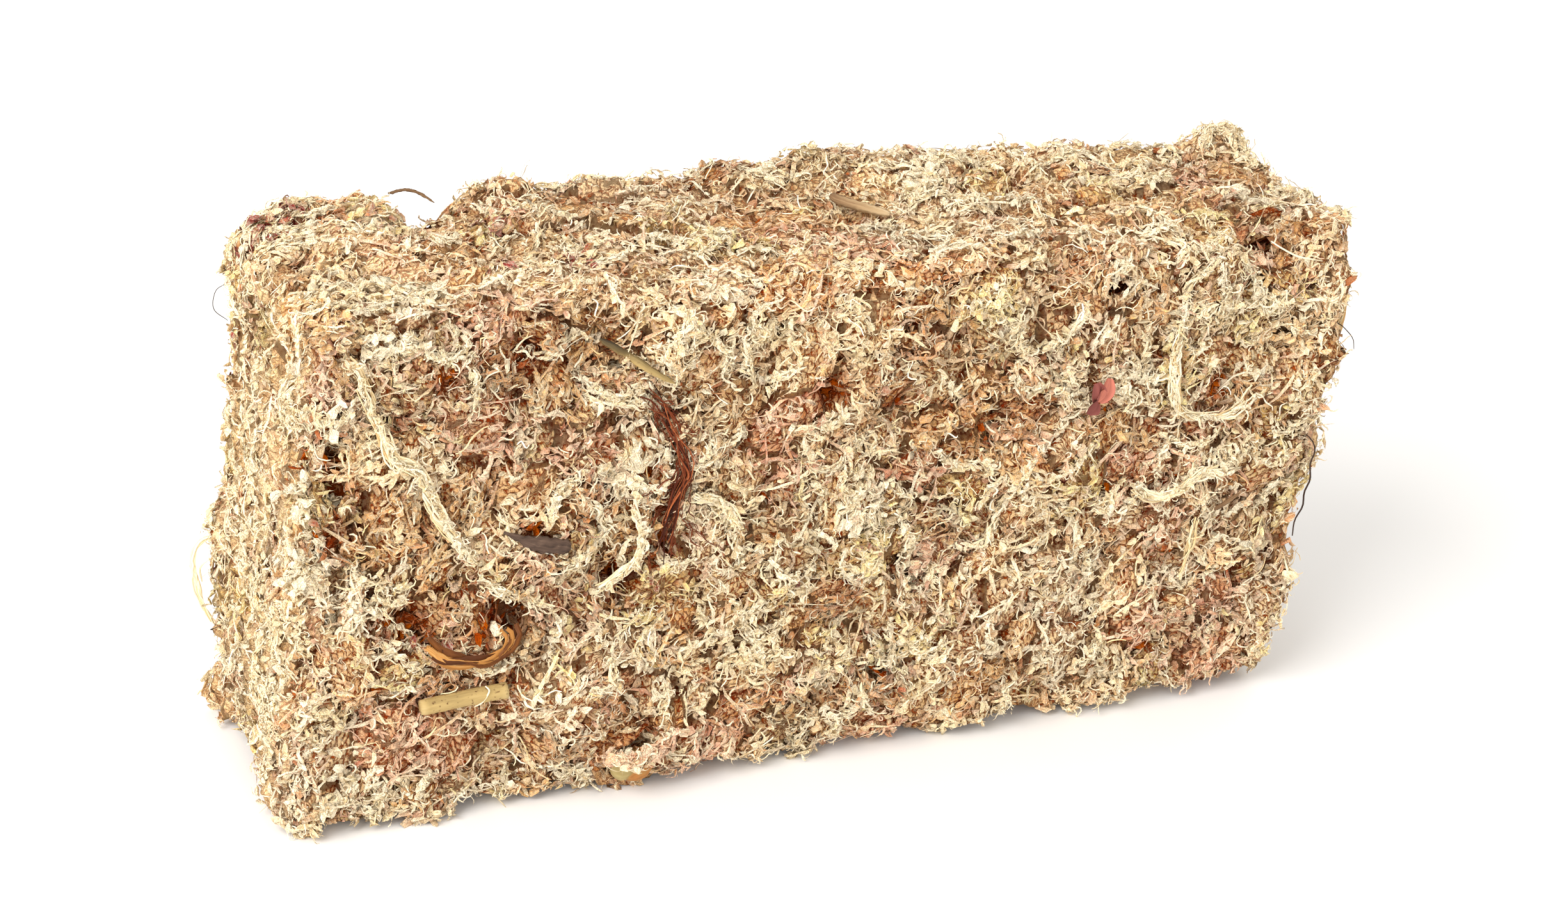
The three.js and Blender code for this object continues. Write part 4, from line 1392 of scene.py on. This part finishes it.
rosetteLift = 0.5 * mm


def liftedLine(line, outs, extra):  # a line of the skin, raised over the moss
    _, lift, _ = mossLift(line, outs)
    height = averaged(np.minimum(lift, clearCap(line))[:, None], 3) + extra
    return line + outs * height, outs


def wanderLines(settings, density):  # lines that follow the lie of the moss over its surface
    count = settings["count"]
    spots, outs = skin.scatter(count, density)
    stride = rng.uniform(*settings["stride"], (count, 1))
    heading = rng.normal(0, settings["turn"], count)
    drift = rng.normal(0, settings["veer"], count)
    track = [(spots, outs)]
    for _ in range(settings["steps"]):
        way = turnAbout(lieOf(spots, outs), outs, heading)
        spots, outs = skin.nearest(spots + way * stride)
        heading = heading + drift + rng.normal(0, 0.15, count)
        track.append((spots, outs))
    return [[np.stack([step[i][row] for step in track]) for i in range(2)] for row in range(count)]


def looseDensity(normals, places):  # thickest on the front, then on the top, and none underneath
    return (normals[:, 2] > -0.5) + 1.0 * (normals[:, 1] < -0.6) + 0.7 * (normals[:, 2] > 0.6)


def endDensity(normals, places):  # more on the left end than on the right
    return (normals[:, 0] < -0.6) + 0.4 * (normals[:, 0] > 0.6)


strandLines = []
for face, routes in (("front", frontStrands), ("top", topStrands)):
    for route in routes:
        line, outs = layLine(route, face, steps=14, lift=0.0)
        strandLines.append(liftedLine(line, outs, placedLift))
for line, outs in wanderLines(looseSettings, looseDensity):
    tone = tufts["tone"][tuftAt(line[3:4])[0][0]]
    dullest, brightest = looseSettings["dull"]
    if not dullest < tone < brightest or rng.random() < looseSettings["dullShare"]:
        strandLines.append(liftedLine(line, outs, looseSettings["lift"]))
endLines = []
for line, outs in wanderLines(endSettings, endDensity):
    endLines.append(liftedLine(line, outs, endSettings["lift"]))
strands = []
for i, (line, outs) in enumerate(strandLines[:looseSettings["bundled"]]):
    strands.append(bundle(line, outs, {
        "radius": rng.uniform(0.3, 0.6) * mm,
        "fibres": 8 if i < len(frontStrands) else 5,
        "steps": 9,
        "tone": rng.uniform(0.1, 0.45),
        "fray": 1.2,
        "wave": 0.3 * mm,
        "cover": (0.3, 0.9),
    }))
rodPiece("loose_strands", joinRods(strands), paleLook, "moss_block", ribbonSection)
print("loose strands", len(strands))

# Pale branches laid end to end along the stems and the strands
cladSettings = {
    **branchSettings,
    "stride": 4.0 * mm,  # from the start of one branch to the next
    "reach": 6.5 * mm,
    "thickness": (0.3 * mm, 0.75 * mm),
    "tone": (0.09, 0.06),
    "leafLong": (1.1 * mm, 2.3 * mm),
    "leafRatio": (0.32, 0.62),
    "around": 1.3,
    "curls": 5,
    "paleCurls": 0.8,
}


def cladBranches(routes, settings):
    spots, outs = [], []
    for line, lineOuts in routes:
        span = np.linalg.norm(np.diff(line, axis=0), axis=1).sum()
        cover = min(settings["reach"] / span, 1)
        for first in np.linspace(0, 1 - cover, max(round(span / settings["stride"]), 1)):
            shares = first + cover * np.linspace(0, 1, 4)
            outsHere = unit(evenSteps(lineOuts, shares))
            spots.append(evenSteps(line, shares) + rng.normal(0, 0.2 * mm, 3) + outsHere * 0.1 * mm)
            outs.append(outsHere)
    spots, outs = np.array(spots), np.array(outs)
    count = len(spots)
    owner, _, _ = tuftAt(spots[:, 1])
    return {
        "spots": spots,
        "outs": outs,
        "deep": np.zeros((count, 4)),
        "calm": np.zeros(count),
        "buriedShade": np.zeros(count),
        "owner": owner,
        "count": count,
        "radius": rng.uniform(*settings["thickness"], count),
        "length": np.full(count, settings["reach"]),
        "size": np.ones(count),
        "tone": np.clip(rng.normal(*settings["tone"], count), 0, 1),
        "shade": rng.normal(0.4, 0.3, count),
    }


cladLines = [lines[name] for name in stems if name != "pale_stem_drop"] + strandLines
mossPiece("pale_branches", cladBranches(cladLines, cladSettings), cladSettings)

# Rosettes and fans: face, middle and reach in millimetres, first and last angle, rays, tone
rosettes = [
    ("front", 3.9, 50, 5.0, 0, 330, 10, "cream"), ("front", 8.8, 39.8, 5.5, 70, 250, 8, "yellow"),
    ("front", 19.3, 36.5, 4.0, 100, 260, 6, "pink"), ("front", 37, 70, 5.0, 0, 320, 9, "grey"),
    ("front", 32, 57.5, 4.0, 0, 320, 7, "rust"), ("front", -38, 60, 4.5, 20, 300, 7, "cream"),
    ("front", -12, 22, 5.0, 30, 200, 6, "straw"), ("front", 52, 66, 4.5, 0, 300, 7, "cream"),
    ("front", 24, 86, 5.0, 200, 340, 6, "yellow"), ("front", -83, 71, 4.5, 20, 340, 7, "straw"),
    ("front", -88, 88, 4.0, 0, 320, 7, "orange"), ("front", 66, 80, 5.0, 200, 330, 6, "straw"),
    ("front", -14, 84, 5.0, 190, 350, 6, "straw"), ("front", 2, 20, 4.5, 0, 300, 7, "straw"),
    ("front", 84, 71, 5.0, 30, 330, 7, "tan"), ("front", -78, 88, 4.5, 180, 360, 6, "cream"),
    ("front", -80, 7, 6.0, 0, 330, 10, "cream"), ("front", -71, 5, 4.5, 0, 330, 7, "straw"),
    ("front", -88, 22, 5.0, 0, 330, 8, "straw"), ("front", -90, 50, 4.5, 0, 330, 8, "cream"),
    ("front", -90, 38, 4.5, 0, 330, 7, "straw"), ("front", -90, 62, 4.0, 90, 330, 7, "cream"),
    ("top", -73, -11, 6.0, 0, 330, 11, "cream"), ("top", -87, 15, 3.5, 0, 320, 6, "wine"),
    ("top", -54, 7, 2.6, 0, 320, 5, "wine"), ("top", -58, -7, 2.6, 0, 320, 5, "wine"),
    ("top", -42, -4, 2.6, 0, 320, 5, "wine"), ("top", -80, 0, 5.0, 0, 320, 9, "tan"),
    ("top", 26, 5, 6.0, 20, 200, 8, "cream"), ("top", -18, -7, 6.0, 0, 180, 8, "yellow"),
]


def stepFrom(spot, far, angle):  # a spot so far away at that angle
    return spot[0] + far * math.cos(angle), spot[1] + far * math.sin(angle)


def rosetteLines(face, x, across, reach, first, last, rays):
    made = []
    for angle in np.radians(np.linspace(first, last, rays) + rng.normal(0, 6, rays)):
        turned = angle + rng.normal(0, 0.35)
        middle = stepFrom((x, across), 0.5 * reach, angle)
        end = stepFrom(middle, 0.5 * reach, turned)
        start = stepFrom((x, across), 0.12 * reach, angle)
        line, outs = layLine([start, middle, end], face, steps=9, lift=0.0)
        made.append(liftedLine(line, outs, rosetteLift))
    return made


rosetteSettings = {
    **cladSettings,
    "thickness": (0.5 * mm, 0.9 * mm),
    "leafLong": (1.3 * mm, 2.6 * mm),
    "leafRatio": (0.45, 0.8),
    "curls": 4,
    "paleCurls": 0.6,
}
crossings = {  # branches side by side: how many, how far they stray, route, way they face, tone
    "end of the clump at the rear of the top": {
        "count": 16,
        "stray": ((-1.2, 9, -2.5), (0.8, 20, 0.3)),
        "route": [(-76, 0, 91.2), (-71, 0, 93), (-67.4, 0, 91.4), (-66.4, 0, 87.5)],
        "facing": (0.3, -0.3, 1),
        "tone": (tones["grey"], 0.1),
    },
    "over the seed husk": {
        "count": 5,
        "stray": ((-1, -0.6, -0.6), (1, 0.8, 1.0)),
        "route": [(-39, -23.2, 8.6), (-35.6, -24.6, 8.0), (-31.6, -24.8, 8.0), (-27.6, -23.4, 8.8)],
        "facing": (0, -1, 0.3),
        "tone": (tones["pink"], 0.05),
    },
}
rosetteParts = []
for *rays, toneName in rosettes:
    settings = {**rosetteSettings, "tone": (tones[toneName], 0.03)}
    rosetteParts.append(cladBranches(rosetteLines(*rays), settings))
for crossing in crossings.values():
    strays = [np.array(crossing["route"]) + rng.uniform(*crossing["stray"]) for _ in range(crossing["count"])]
    routes = [freeLine(route, crossing["facing"], steps=10) for route in strays]
    rosetteParts.append(cladBranches(routes, {**rosetteSettings, "tone": crossing["tone"]}))
mossPiece("rosettes", joinRods(rosetteParts), rosetteSettings)

endClad = {
    **cladSettings,
    "thickness": (0.5 * mm, 0.9 * mm),
    "leafLong": (1.1 * mm, 2.4 * mm),
    "leafRatio": (0.4, 0.75),
    "tone": (0.12, 0.06),
}
mossPiece("end_branches", cladBranches(endLines, endClad), endClad)

# Debris: solid rods and blades with their own grain
rodSides = 12


def ringSection(sides):
    angle = np.arange(sides) / sides * 2 * np.pi
    return np.stack([np.cos(angle), np.sin(angle)], 1)


def solidRod(
    name, line, outs, halves, depths, look, slot, tone, section=ringSection(rodSides), rough=0.03 * mm,
):
    n, k = len(line), len(section)
    points, faces = sweep(line[None], outs[None], halves[None], section, depths[None])
    bulk = np.minimum(halves, depths)[:, None].repeat(k, 1).reshape(-1, 1)
    points = points + rng.normal(0, 1, points.shape) * np.minimum(rough, bulk * 0.3)
    long = np.linalg.norm(np.diff(line, axis=0), axis=1).sum()
    shares, around = np.linspace(0, 1, n), np.linspace(-3.1, 3.1, k)
    wide = np.array([halves.max()])
    paints = surfacePaints(tone, np.zeros(1), shares, around, np.array([long]), wide)
    inside = 0.02 + 0.96 * np.stack([np.repeat(shares, k), np.tile(np.arange(k) / k, n)], 1)
    piece = makePiece(name, points, faces, look, paints, inside)
    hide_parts(name)


def capped(line, outs, *profiles):  # rings closed at both ends
    line = np.concatenate([line[:1], line, line[-1:]])
    outs = np.concatenate([outs[:1], outs, outs[-1:]])
    nudge = (line[2] - line[1]) * 0.02
    line[0], line[-1] = line[0] - nudge, line[-1] + nudge
    return line, outs, *[np.concatenate([[0], profile, [0]]) for profile in profiles]


def profile(count, shares, values):  # half widths along a line
    return np.interp(np.linspace(0, 1, count), shares, values) * mm


twigStops = [(0.0, (66, 48, 34)), (0.4, (128, 98, 70)), (0.7, (172, 142, 104)), (1.0, (206, 182, 144))]
barkStops = [(0.0, (52, 40, 34)), (0.5, (98, 78, 66)), (0.8, (132, 108, 90)), (1.0, (176, 150, 122))]
reedStops = [(0.0, (70, 60, 46)), (0.3, (112, 94, 60)), (0.6, (182, 154, 100)), (1.0, (210, 188, 138))]
rootStops = [(0.0, (48, 20, 10)), (0.5, (108, 50, 28)), (0.8, (150, 78, 44)), (1.0, (190, 116, 72))]
leafStops = [(0.0, (84, 46, 20)), (0.4, (150, 92, 40)), (0.7, (188, 130, 68)), (1.0, (222, 180, 120))]
roseStops = [(0.0, (96, 48, 44)), (0.35, (150, 86, 78)), (0.7, (206, 124, 102)), (1.0, (232, 170, 142))]
huskStops = [(0.0, (110, 72, 34)), (0.35, (184, 124, 66)), (0.65, (158, 136, 86)), (1.0, (186, 170, 118))]
darkStops = [(0.0, (38, 28, 26)), (0.5, (74, 56, 46)), (1.0, (120, 92, 70))]
twigLook = grainLook("twig bark", twigStops, 0.3, 4.0)
barkLook = grainLook("bark", barkStops, 0.35, 3.0, depth=0.25 * mm)
reedLook = grainLook("dry reed", reedStops, 0.16, 2.5, roughness=0.7, depth=0.08 * mm, specks=7.0)
rootLook = grainLook("root fibre", rootStops, 0.3, 3.0)
leafLook = grainLook("dead leaf", leafStops, 0.25, 3.5, roughness=0.6)
roseLook = grainLook("russet petal", roseStops, 0.2, 2.0, depth=0.12 * mm)
huskLook = grainLook("seed husk", huskStops, 0.3, 1.2, roughness=0.7, depth=0.3 * mm)
darkLook = grainLook("dark hair", darkStops, 0.2, 3.0)

# Split reed: half a straw, dark at its upper end
line, outs = lines["split_reed"]
count = len(line)
halves = profile(count, [0, 0.1, 0.5, 0.9, 1], [0.2, 0.55, 0.72, 0.5, 0.12])
depths = profile(count, [0, 0.1, 0.5, 0.9, 1], [0.25, 0.5, 0.55, 0.4, 0.12])
halfStraw = np.array([
    (-1, 0.1), (-0.85, 0.6), (-0.45, 0.95), (0, 1.05), (0.45, 0.95), (0.85, 0.6), (1, 0.1),
    (0.75, 0.15), (0.4, 0.55), (0, 0.65), (-0.4, 0.55), (-0.75, 0.15),
])
halfStraw[:, 1] -= 0.5
reedTone = np.interp(np.linspace(0, 1, count), [0, 0.25, 0.5, 1], [0.05, 0.2, 0.45, 0.55])
reedTone = reedTone[:, None] + np.interp(np.arange(len(halfStraw)), [0, 6, 11], [-0.2, 0.25, -0.1])
reedTone = np.concatenate([reedTone[:1], reedTone, reedTone[-1:]])
solidRod("split_reed", *capped(line, outs, halves, depths), reedLook, "reed", reedTone, halfStraw)

# Reed stub: a short straw, open at one end
reedStub = {"radius": 1.32 * mm, "bore": 0.75 * mm, "boreDepth": 5.0 * mm, "sides": 20}
line, outs = lines["reed_stub"]
radius, bore = reedStub["radius"], reedStub["bore"]
back = line[-1] - unit(line[-1] - line[-3]) * reedStub["boreDepth"]
line = np.concatenate([line[:1], line, line[-1:], line[-1:], back[None], back[None]])
outs = np.concatenate([outs[:1], outs, outs[-1:].repeat(4, 0)])
mouth = [radius * 1.04, radius * 0.98, bore, bore, 0]
halves = np.concatenate([[0], np.full(len(line) - 6, radius), mouth])
halves[1] *= 0.9
# darkest inside the open end: painted shade in the bore
stubTone = np.interp(
    np.linspace(0, 1, len(line)), [0, 0.06, 0.1, 0.8, 0.86, 0.9, 1], [0.7, 0.7, 0.55, 0.62, 0.75, 0.2, 0],
)
stubTone = stubTone[:, None] + rng.normal(0, 0.03, (1, reedStub["sides"]))
ring = ringSection(reedStub["sides"])
solidRod("reed_stub", line, outs, halves, halves * 0.96, reedLook, "reed", stubTone, ring, 0.02 * mm)

# Bark chip: thin, ragged and widest towards its lower end
line, outs = lines["bark_chip"]
count = len(line)
halves = profile(count, [0, 0.3, 0.5, 0.9, 1], [0.25, 0.8, 1.3, 1.35, 0.9]) * rng.uniform(0.8, 1.2, count)
depths = profile(count, [0, 0.15, 0.85, 1], [0.15, 0.3, 0.4, 0.25])
chipTone = 0.4 + rng.normal(0, 0.12, (count + 2, rodSides))
solidRod("bark_chip", *capped(line, outs, halves, depths), barkLook, "bark", chipTone, rough=0.09 * mm)

# Twigs: line, widest half in millimetres, tone at the start and at the end
notchRoute = [(-65.4, 20.4, 92.3), (-62.8, 20.2, 92.8), (-60.4, 19.8, 92.2), (-58.2, 18.6, 90.9)]
twigs = {
    "top_twig": (*lines["top_twig"], 1.0, (0.35, 0.85)),
    "side_twig": (*lines["side_twig"], 0.45, (0.3, 0.45)),
    "notch_twig": (*freeLine(notchRoute, (0, -0.4, 1)), 0.28, (0.2, 0.4)),
}
for name, (line, outs, half, (first, last)) in twigs.items():
    count = len(line)
    halves = profile(count, [0, 0.1, 0.5, 0.9, 1], np.array([0.5, 0.9, 1.0, 0.75, 0.35]) * half)
    halves = halves * rng.uniform(0.9, 1.1, count)
    tone = np.linspace(first, last, count + 2)[:, None] + rng.normal(0, 0.05, (1, rodSides))
    solidRod(name, *capped(line, outs, halves, halves * 0.8), twigLook, "twig", tone, rough=0.04 * mm)

# Root strip: a bundle of red-brown fibres with rootlets off it
line, outs = lines["root_strip"]
rootSettings = {
    "radius": 1.1 * mm, "fibres": 34, "tone": 0.5, "mixed": 0.35, "fray": 1.4, "cover": (0.15, 0.75),
    "twist": 0.05, "wave": 0.6 * mm, "rod": (0.05 * mm, 0.16 * mm),
}
rootletSettings = {
    "radius": 0.2 * mm, "fibres": 2, "tone": 0.5, "cover": (0.7, 1.0), "wave": 0.3 * mm,
    "rod": (0.05 * mm, 0.1 * mm),
}
rootlets = {"count": 40, "long": (4, 13), "lift": 1.6 * mm}
roots = [bundle(line, outs, rootSettings)]
for _ in range(rootlets["count"]):
    first = rng.integers(2, len(line) - 4)
    away = unit(line[first + 2] - line[first]) * rng.uniform(0.6, 1)
    away = away + np.cross(outs[first], away) * rng.normal(0, 0.6)
    route = line[first] + away * (np.linspace(0, 1, 6)[:, None] * rng.uniform(*rootlets["long"]) * mm)
    route, routeOuts = skin.nearest(route + rng.normal(0, 0.4 * mm, route.shape))
    roots.append(bundle(*liftedLine(route, routeOuts, rootlets["lift"]), rootletSettings))
rodPiece("root_strip", joinRods(roots), rootLook, "root_strip")

# Curled leaf: narrow blades, one over the other
bladeSettings = {
    "radius": 0.85 * mm, "fibres": 10, "steps": 18, "tone": 0.42, "mixed": 0.3, "fray": 1.0,
    "cover": (0.4, 0.95), "rod": (0.3 * mm, 0.75 * mm),
}
blades = bundle(*lines["curled_leaf"], bladeSettings)
rodPiece("curled_leaf", blades, leafLook, "curled_leaf")

# Russet flake: folded petals round one spot, with the tip and the tone of each
petalSettings = {
    "root": (45.0, 64.0),
    "petals": [((46.6, 68.2), 0.6), ((44.2, 67.6), 0.3), ((46.9, 65.4), 0.5), ((43.0, 62.0), 0.25)],
    "half": 1.5 * mm,
    "arch": 0.6 * mm,
    "steps": 8,
}
petals = []
share = np.linspace(0, 1, petalSettings["steps"])
widths = petalSettings["half"] * (0.2 + 0.8 * np.sin(np.pi * np.clip(share * 0.9 + 0.05, 0, 1)) ** 0.7)
for tip, tone in petalSettings["petals"]:
    start, end = np.array(petalSettings["root"]), np.array(tip)
    middle = (start + end) / 2 + rng.normal(0, 0.5, 2)
    lift = rng.uniform(0.1, 0.6) * mm
    line, outs = layLine([start, middle, end], steps=petalSettings["steps"], lift=lift)
    petals.append({
        "paths": (line + outs * (np.sin(np.pi * share) * petalSettings["arch"])[:, None])[None],
        "outs": outs[None],
        "widths": widths[None],
        "tone": np.array([tone]),
        "shade": np.zeros(1),
    })
petalSection = np.array([(-1.0, 0.15), (-0.55, -0.3), (0.0, 0.1), (0.55, -0.3), (1.0, 0.2)])
rodPiece("russet_flake", joinRods(petals), roseLook, "russet_flake", petalSection)

# Seed husk: two lobes at the foot of the front
husk = {
    "middle": np.array([-32.6, -21.2, 5.2]) * mm,
    "half": np.array([3.9, 2.2, 3.1]) * mm,
    "lean": -24,  # degrees
    "rings": 18,
    "sides": 24,
}


def makeHusk(settings):
    rings, sides = settings["rings"], settings["sides"]
    rise = np.linspace(-0.5, 0.5, rings) * np.pi
    turn = np.arange(sides) / sides * 2 * np.pi
    x = (np.cos(rise)[:, None] * np.cos(turn)[None]).ravel()
    y = (np.cos(rise)[:, None] * np.sin(turn)[None]).ravel()
    z = np.repeat(np.sin(rise), sides)
    seam = x + 0.2 + 0.25 * z  # how far from the groove between the lobes
    groove = 0.1 * np.exp(-(seam / 0.16) ** 2)
    size = 1 - groove + 0.03 * np.sin(5 * x + 3 * z) + rng.normal(0, 0.008, len(x))
    lean = math.radians(settings["lean"])
    shape = np.stack([x * np.cos(lean) - z * np.sin(lean), y, x * np.sin(lean) + z * np.cos(lean)], 1)
    points = shape * size[:, None] * settings["half"] + settings["middle"] + blockShift
    first = (np.arange(rings - 1) * sides)[:, None]
    here = np.arange(sides)[None]
    ahead = (here + 1) % sides
    corners = [first + here, first + ahead, first + sides + ahead, first + sides + here]
    faces = np.stack(corners, -1).reshape(-1, 4)
    tone = np.interp(seam, [-0.1, 0.05], [0.8, 0.36]) + rng.normal(0, 0.05, len(x))
    around, along = np.tile(np.arange(sides) / sides, rings), np.repeat(np.linspace(0.02, 0.98, rings), sides)
    inside = np.stack([0.02 + 0.96 * around, along], 1)
    paints = {"tone": tone, "shade": 0 * x, "run": 6 * z, "wide": 2.5 * x + 2.5 * y, "seed": 0 * x + 3}
    piece = makePiece("seed_husk", points, faces, huskLook, paints, inside)
    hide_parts("seed_husk")


makeHusk(husk)

# Loops of stem that stand off the two ends: tone and route
loops = {
    "left_loop": (0.45, [
        (-90.2, 19.5, 33.6), (-93.2, 20.6, 33.4), (-95.2, 20.9, 30.4), (-94.9, 20.7, 25.6),
        (-93.8, 20.2, 21.4), (-92.2, 19.6, 18.2), (-90.2, 18.4, 16.2),
    ]),
    "right_loop": (0.72, [
        (90.4, -17.2, 79.8), (93.2, -17.6, 77.6), (94.4, -17.8, 72.6), (93.6, -17.6, 67.6),
        (90.6, -17.2, 64.6),
    ]),
}
loopSettings = {
    "radius": 0.5 * mm, "fibres": 9, "steps": 20, "cover": (0.6, 1.0), "rod": (0.12 * mm, 0.28 * mm),
    "wave": 0.2 * mm, "fray": 1.0,
}
for name, (tone, route) in loops.items():
    line, outs = freeLine(route, (math.copysign(0.6, route[0][0]), -0.7, 0.3), steps=30)
    loop = bundle(line, outs, {**loopSettings, "tone": tone})
    rodPiece(name, loop, paleLook, name)

# Hairs and thin strands that stand off the block: half width and route in millimetres
darkHairs = {
    "right hair": (0.09, [
        (89, -20, 73.5), (91.8, -20.8, 72.6), (93.6, -21, 71.2), (95, -21.2, 69.6), (95.6, -21.2, 67.6),
    ]),
    "short hair": (0.08, [(88, -20.6, 81.3), (90.6, -21.2, 80.6), (91.4, -21.4, 79.3)]),
    "side hair": (0.07, [(89, -21.2, 66.7), (91.3, -21.6, 66.4), (93, -21.8, 65.9)]),
    "black thread": (0.18, [
        (89, -21.6, 52), (90.3, -22, 50.6), (91, -22, 48.6), (90.5, -22, 46.4), (91.1, -22, 43.3),
        (90.4, -22, 40.8), (90.6, -22, 38), (89.5, -22, 35.4), (89.6, -22, 32.3),
    ]),
    "left hair": (0.08, [(-91.2, 18, 17.2), (-93, 17.2, 17.8), (-93.4, 14.6, 19.6), (-92.4, 13, 20.9)]),
    "left top hair": (0.07, [(-91, 20.5, 72.5), (-93.2, 21, 74.5), (-93, 21, 77.6), (-91.4, 20.6, 79)]),
}
paleHairs = {
    "loop strand": (0.2, [(-90, 18.4, 31), (-92.6, 19.4, 30), (-94, 20.6, 27.8), (-93.6, 20.8, 25)]),
    "hollow fibre": (0.16, [
        (75, -20.8, 89.6), (77, -21.6, 88.4), (80, -22, 86.9), (83, -21.8, 86), (86, -21, 85),
    ]),
    "stub fibre": (0.16, [(-60.6, -23.4, 25.9), (-60, -23.8, 25), (-61, -23.6, 23), (-62, -23, 22)]),
}
hairSteps = 24


def hairRod(half, route):
    line, outs = freeLine(route, (0.2, -1, 0.3), hairSteps)
    taper = 0.4 + 0.6 * np.sin(np.pi * np.linspace(0.05, 0.95, hairSteps)) ** 0.5
    return {
        "paths": line[None],
        "outs": outs[None],
        "widths": (half * mm * taper)[None],
        "tone": np.array([0.3]),
        "shade": np.zeros(1),
    }


darkRods = joinRods([hairRod(*hair) for hair in darkHairs.values()])
rodPiece("dark_hairs", darkRods, darkLook, "moss_block")
paleRods = joinRods([hairRod(*hair) for hair in paleHairs.values()])
rodPiece("pale_hairs", paleRods, paleLook, "moss_block")
print("debris")
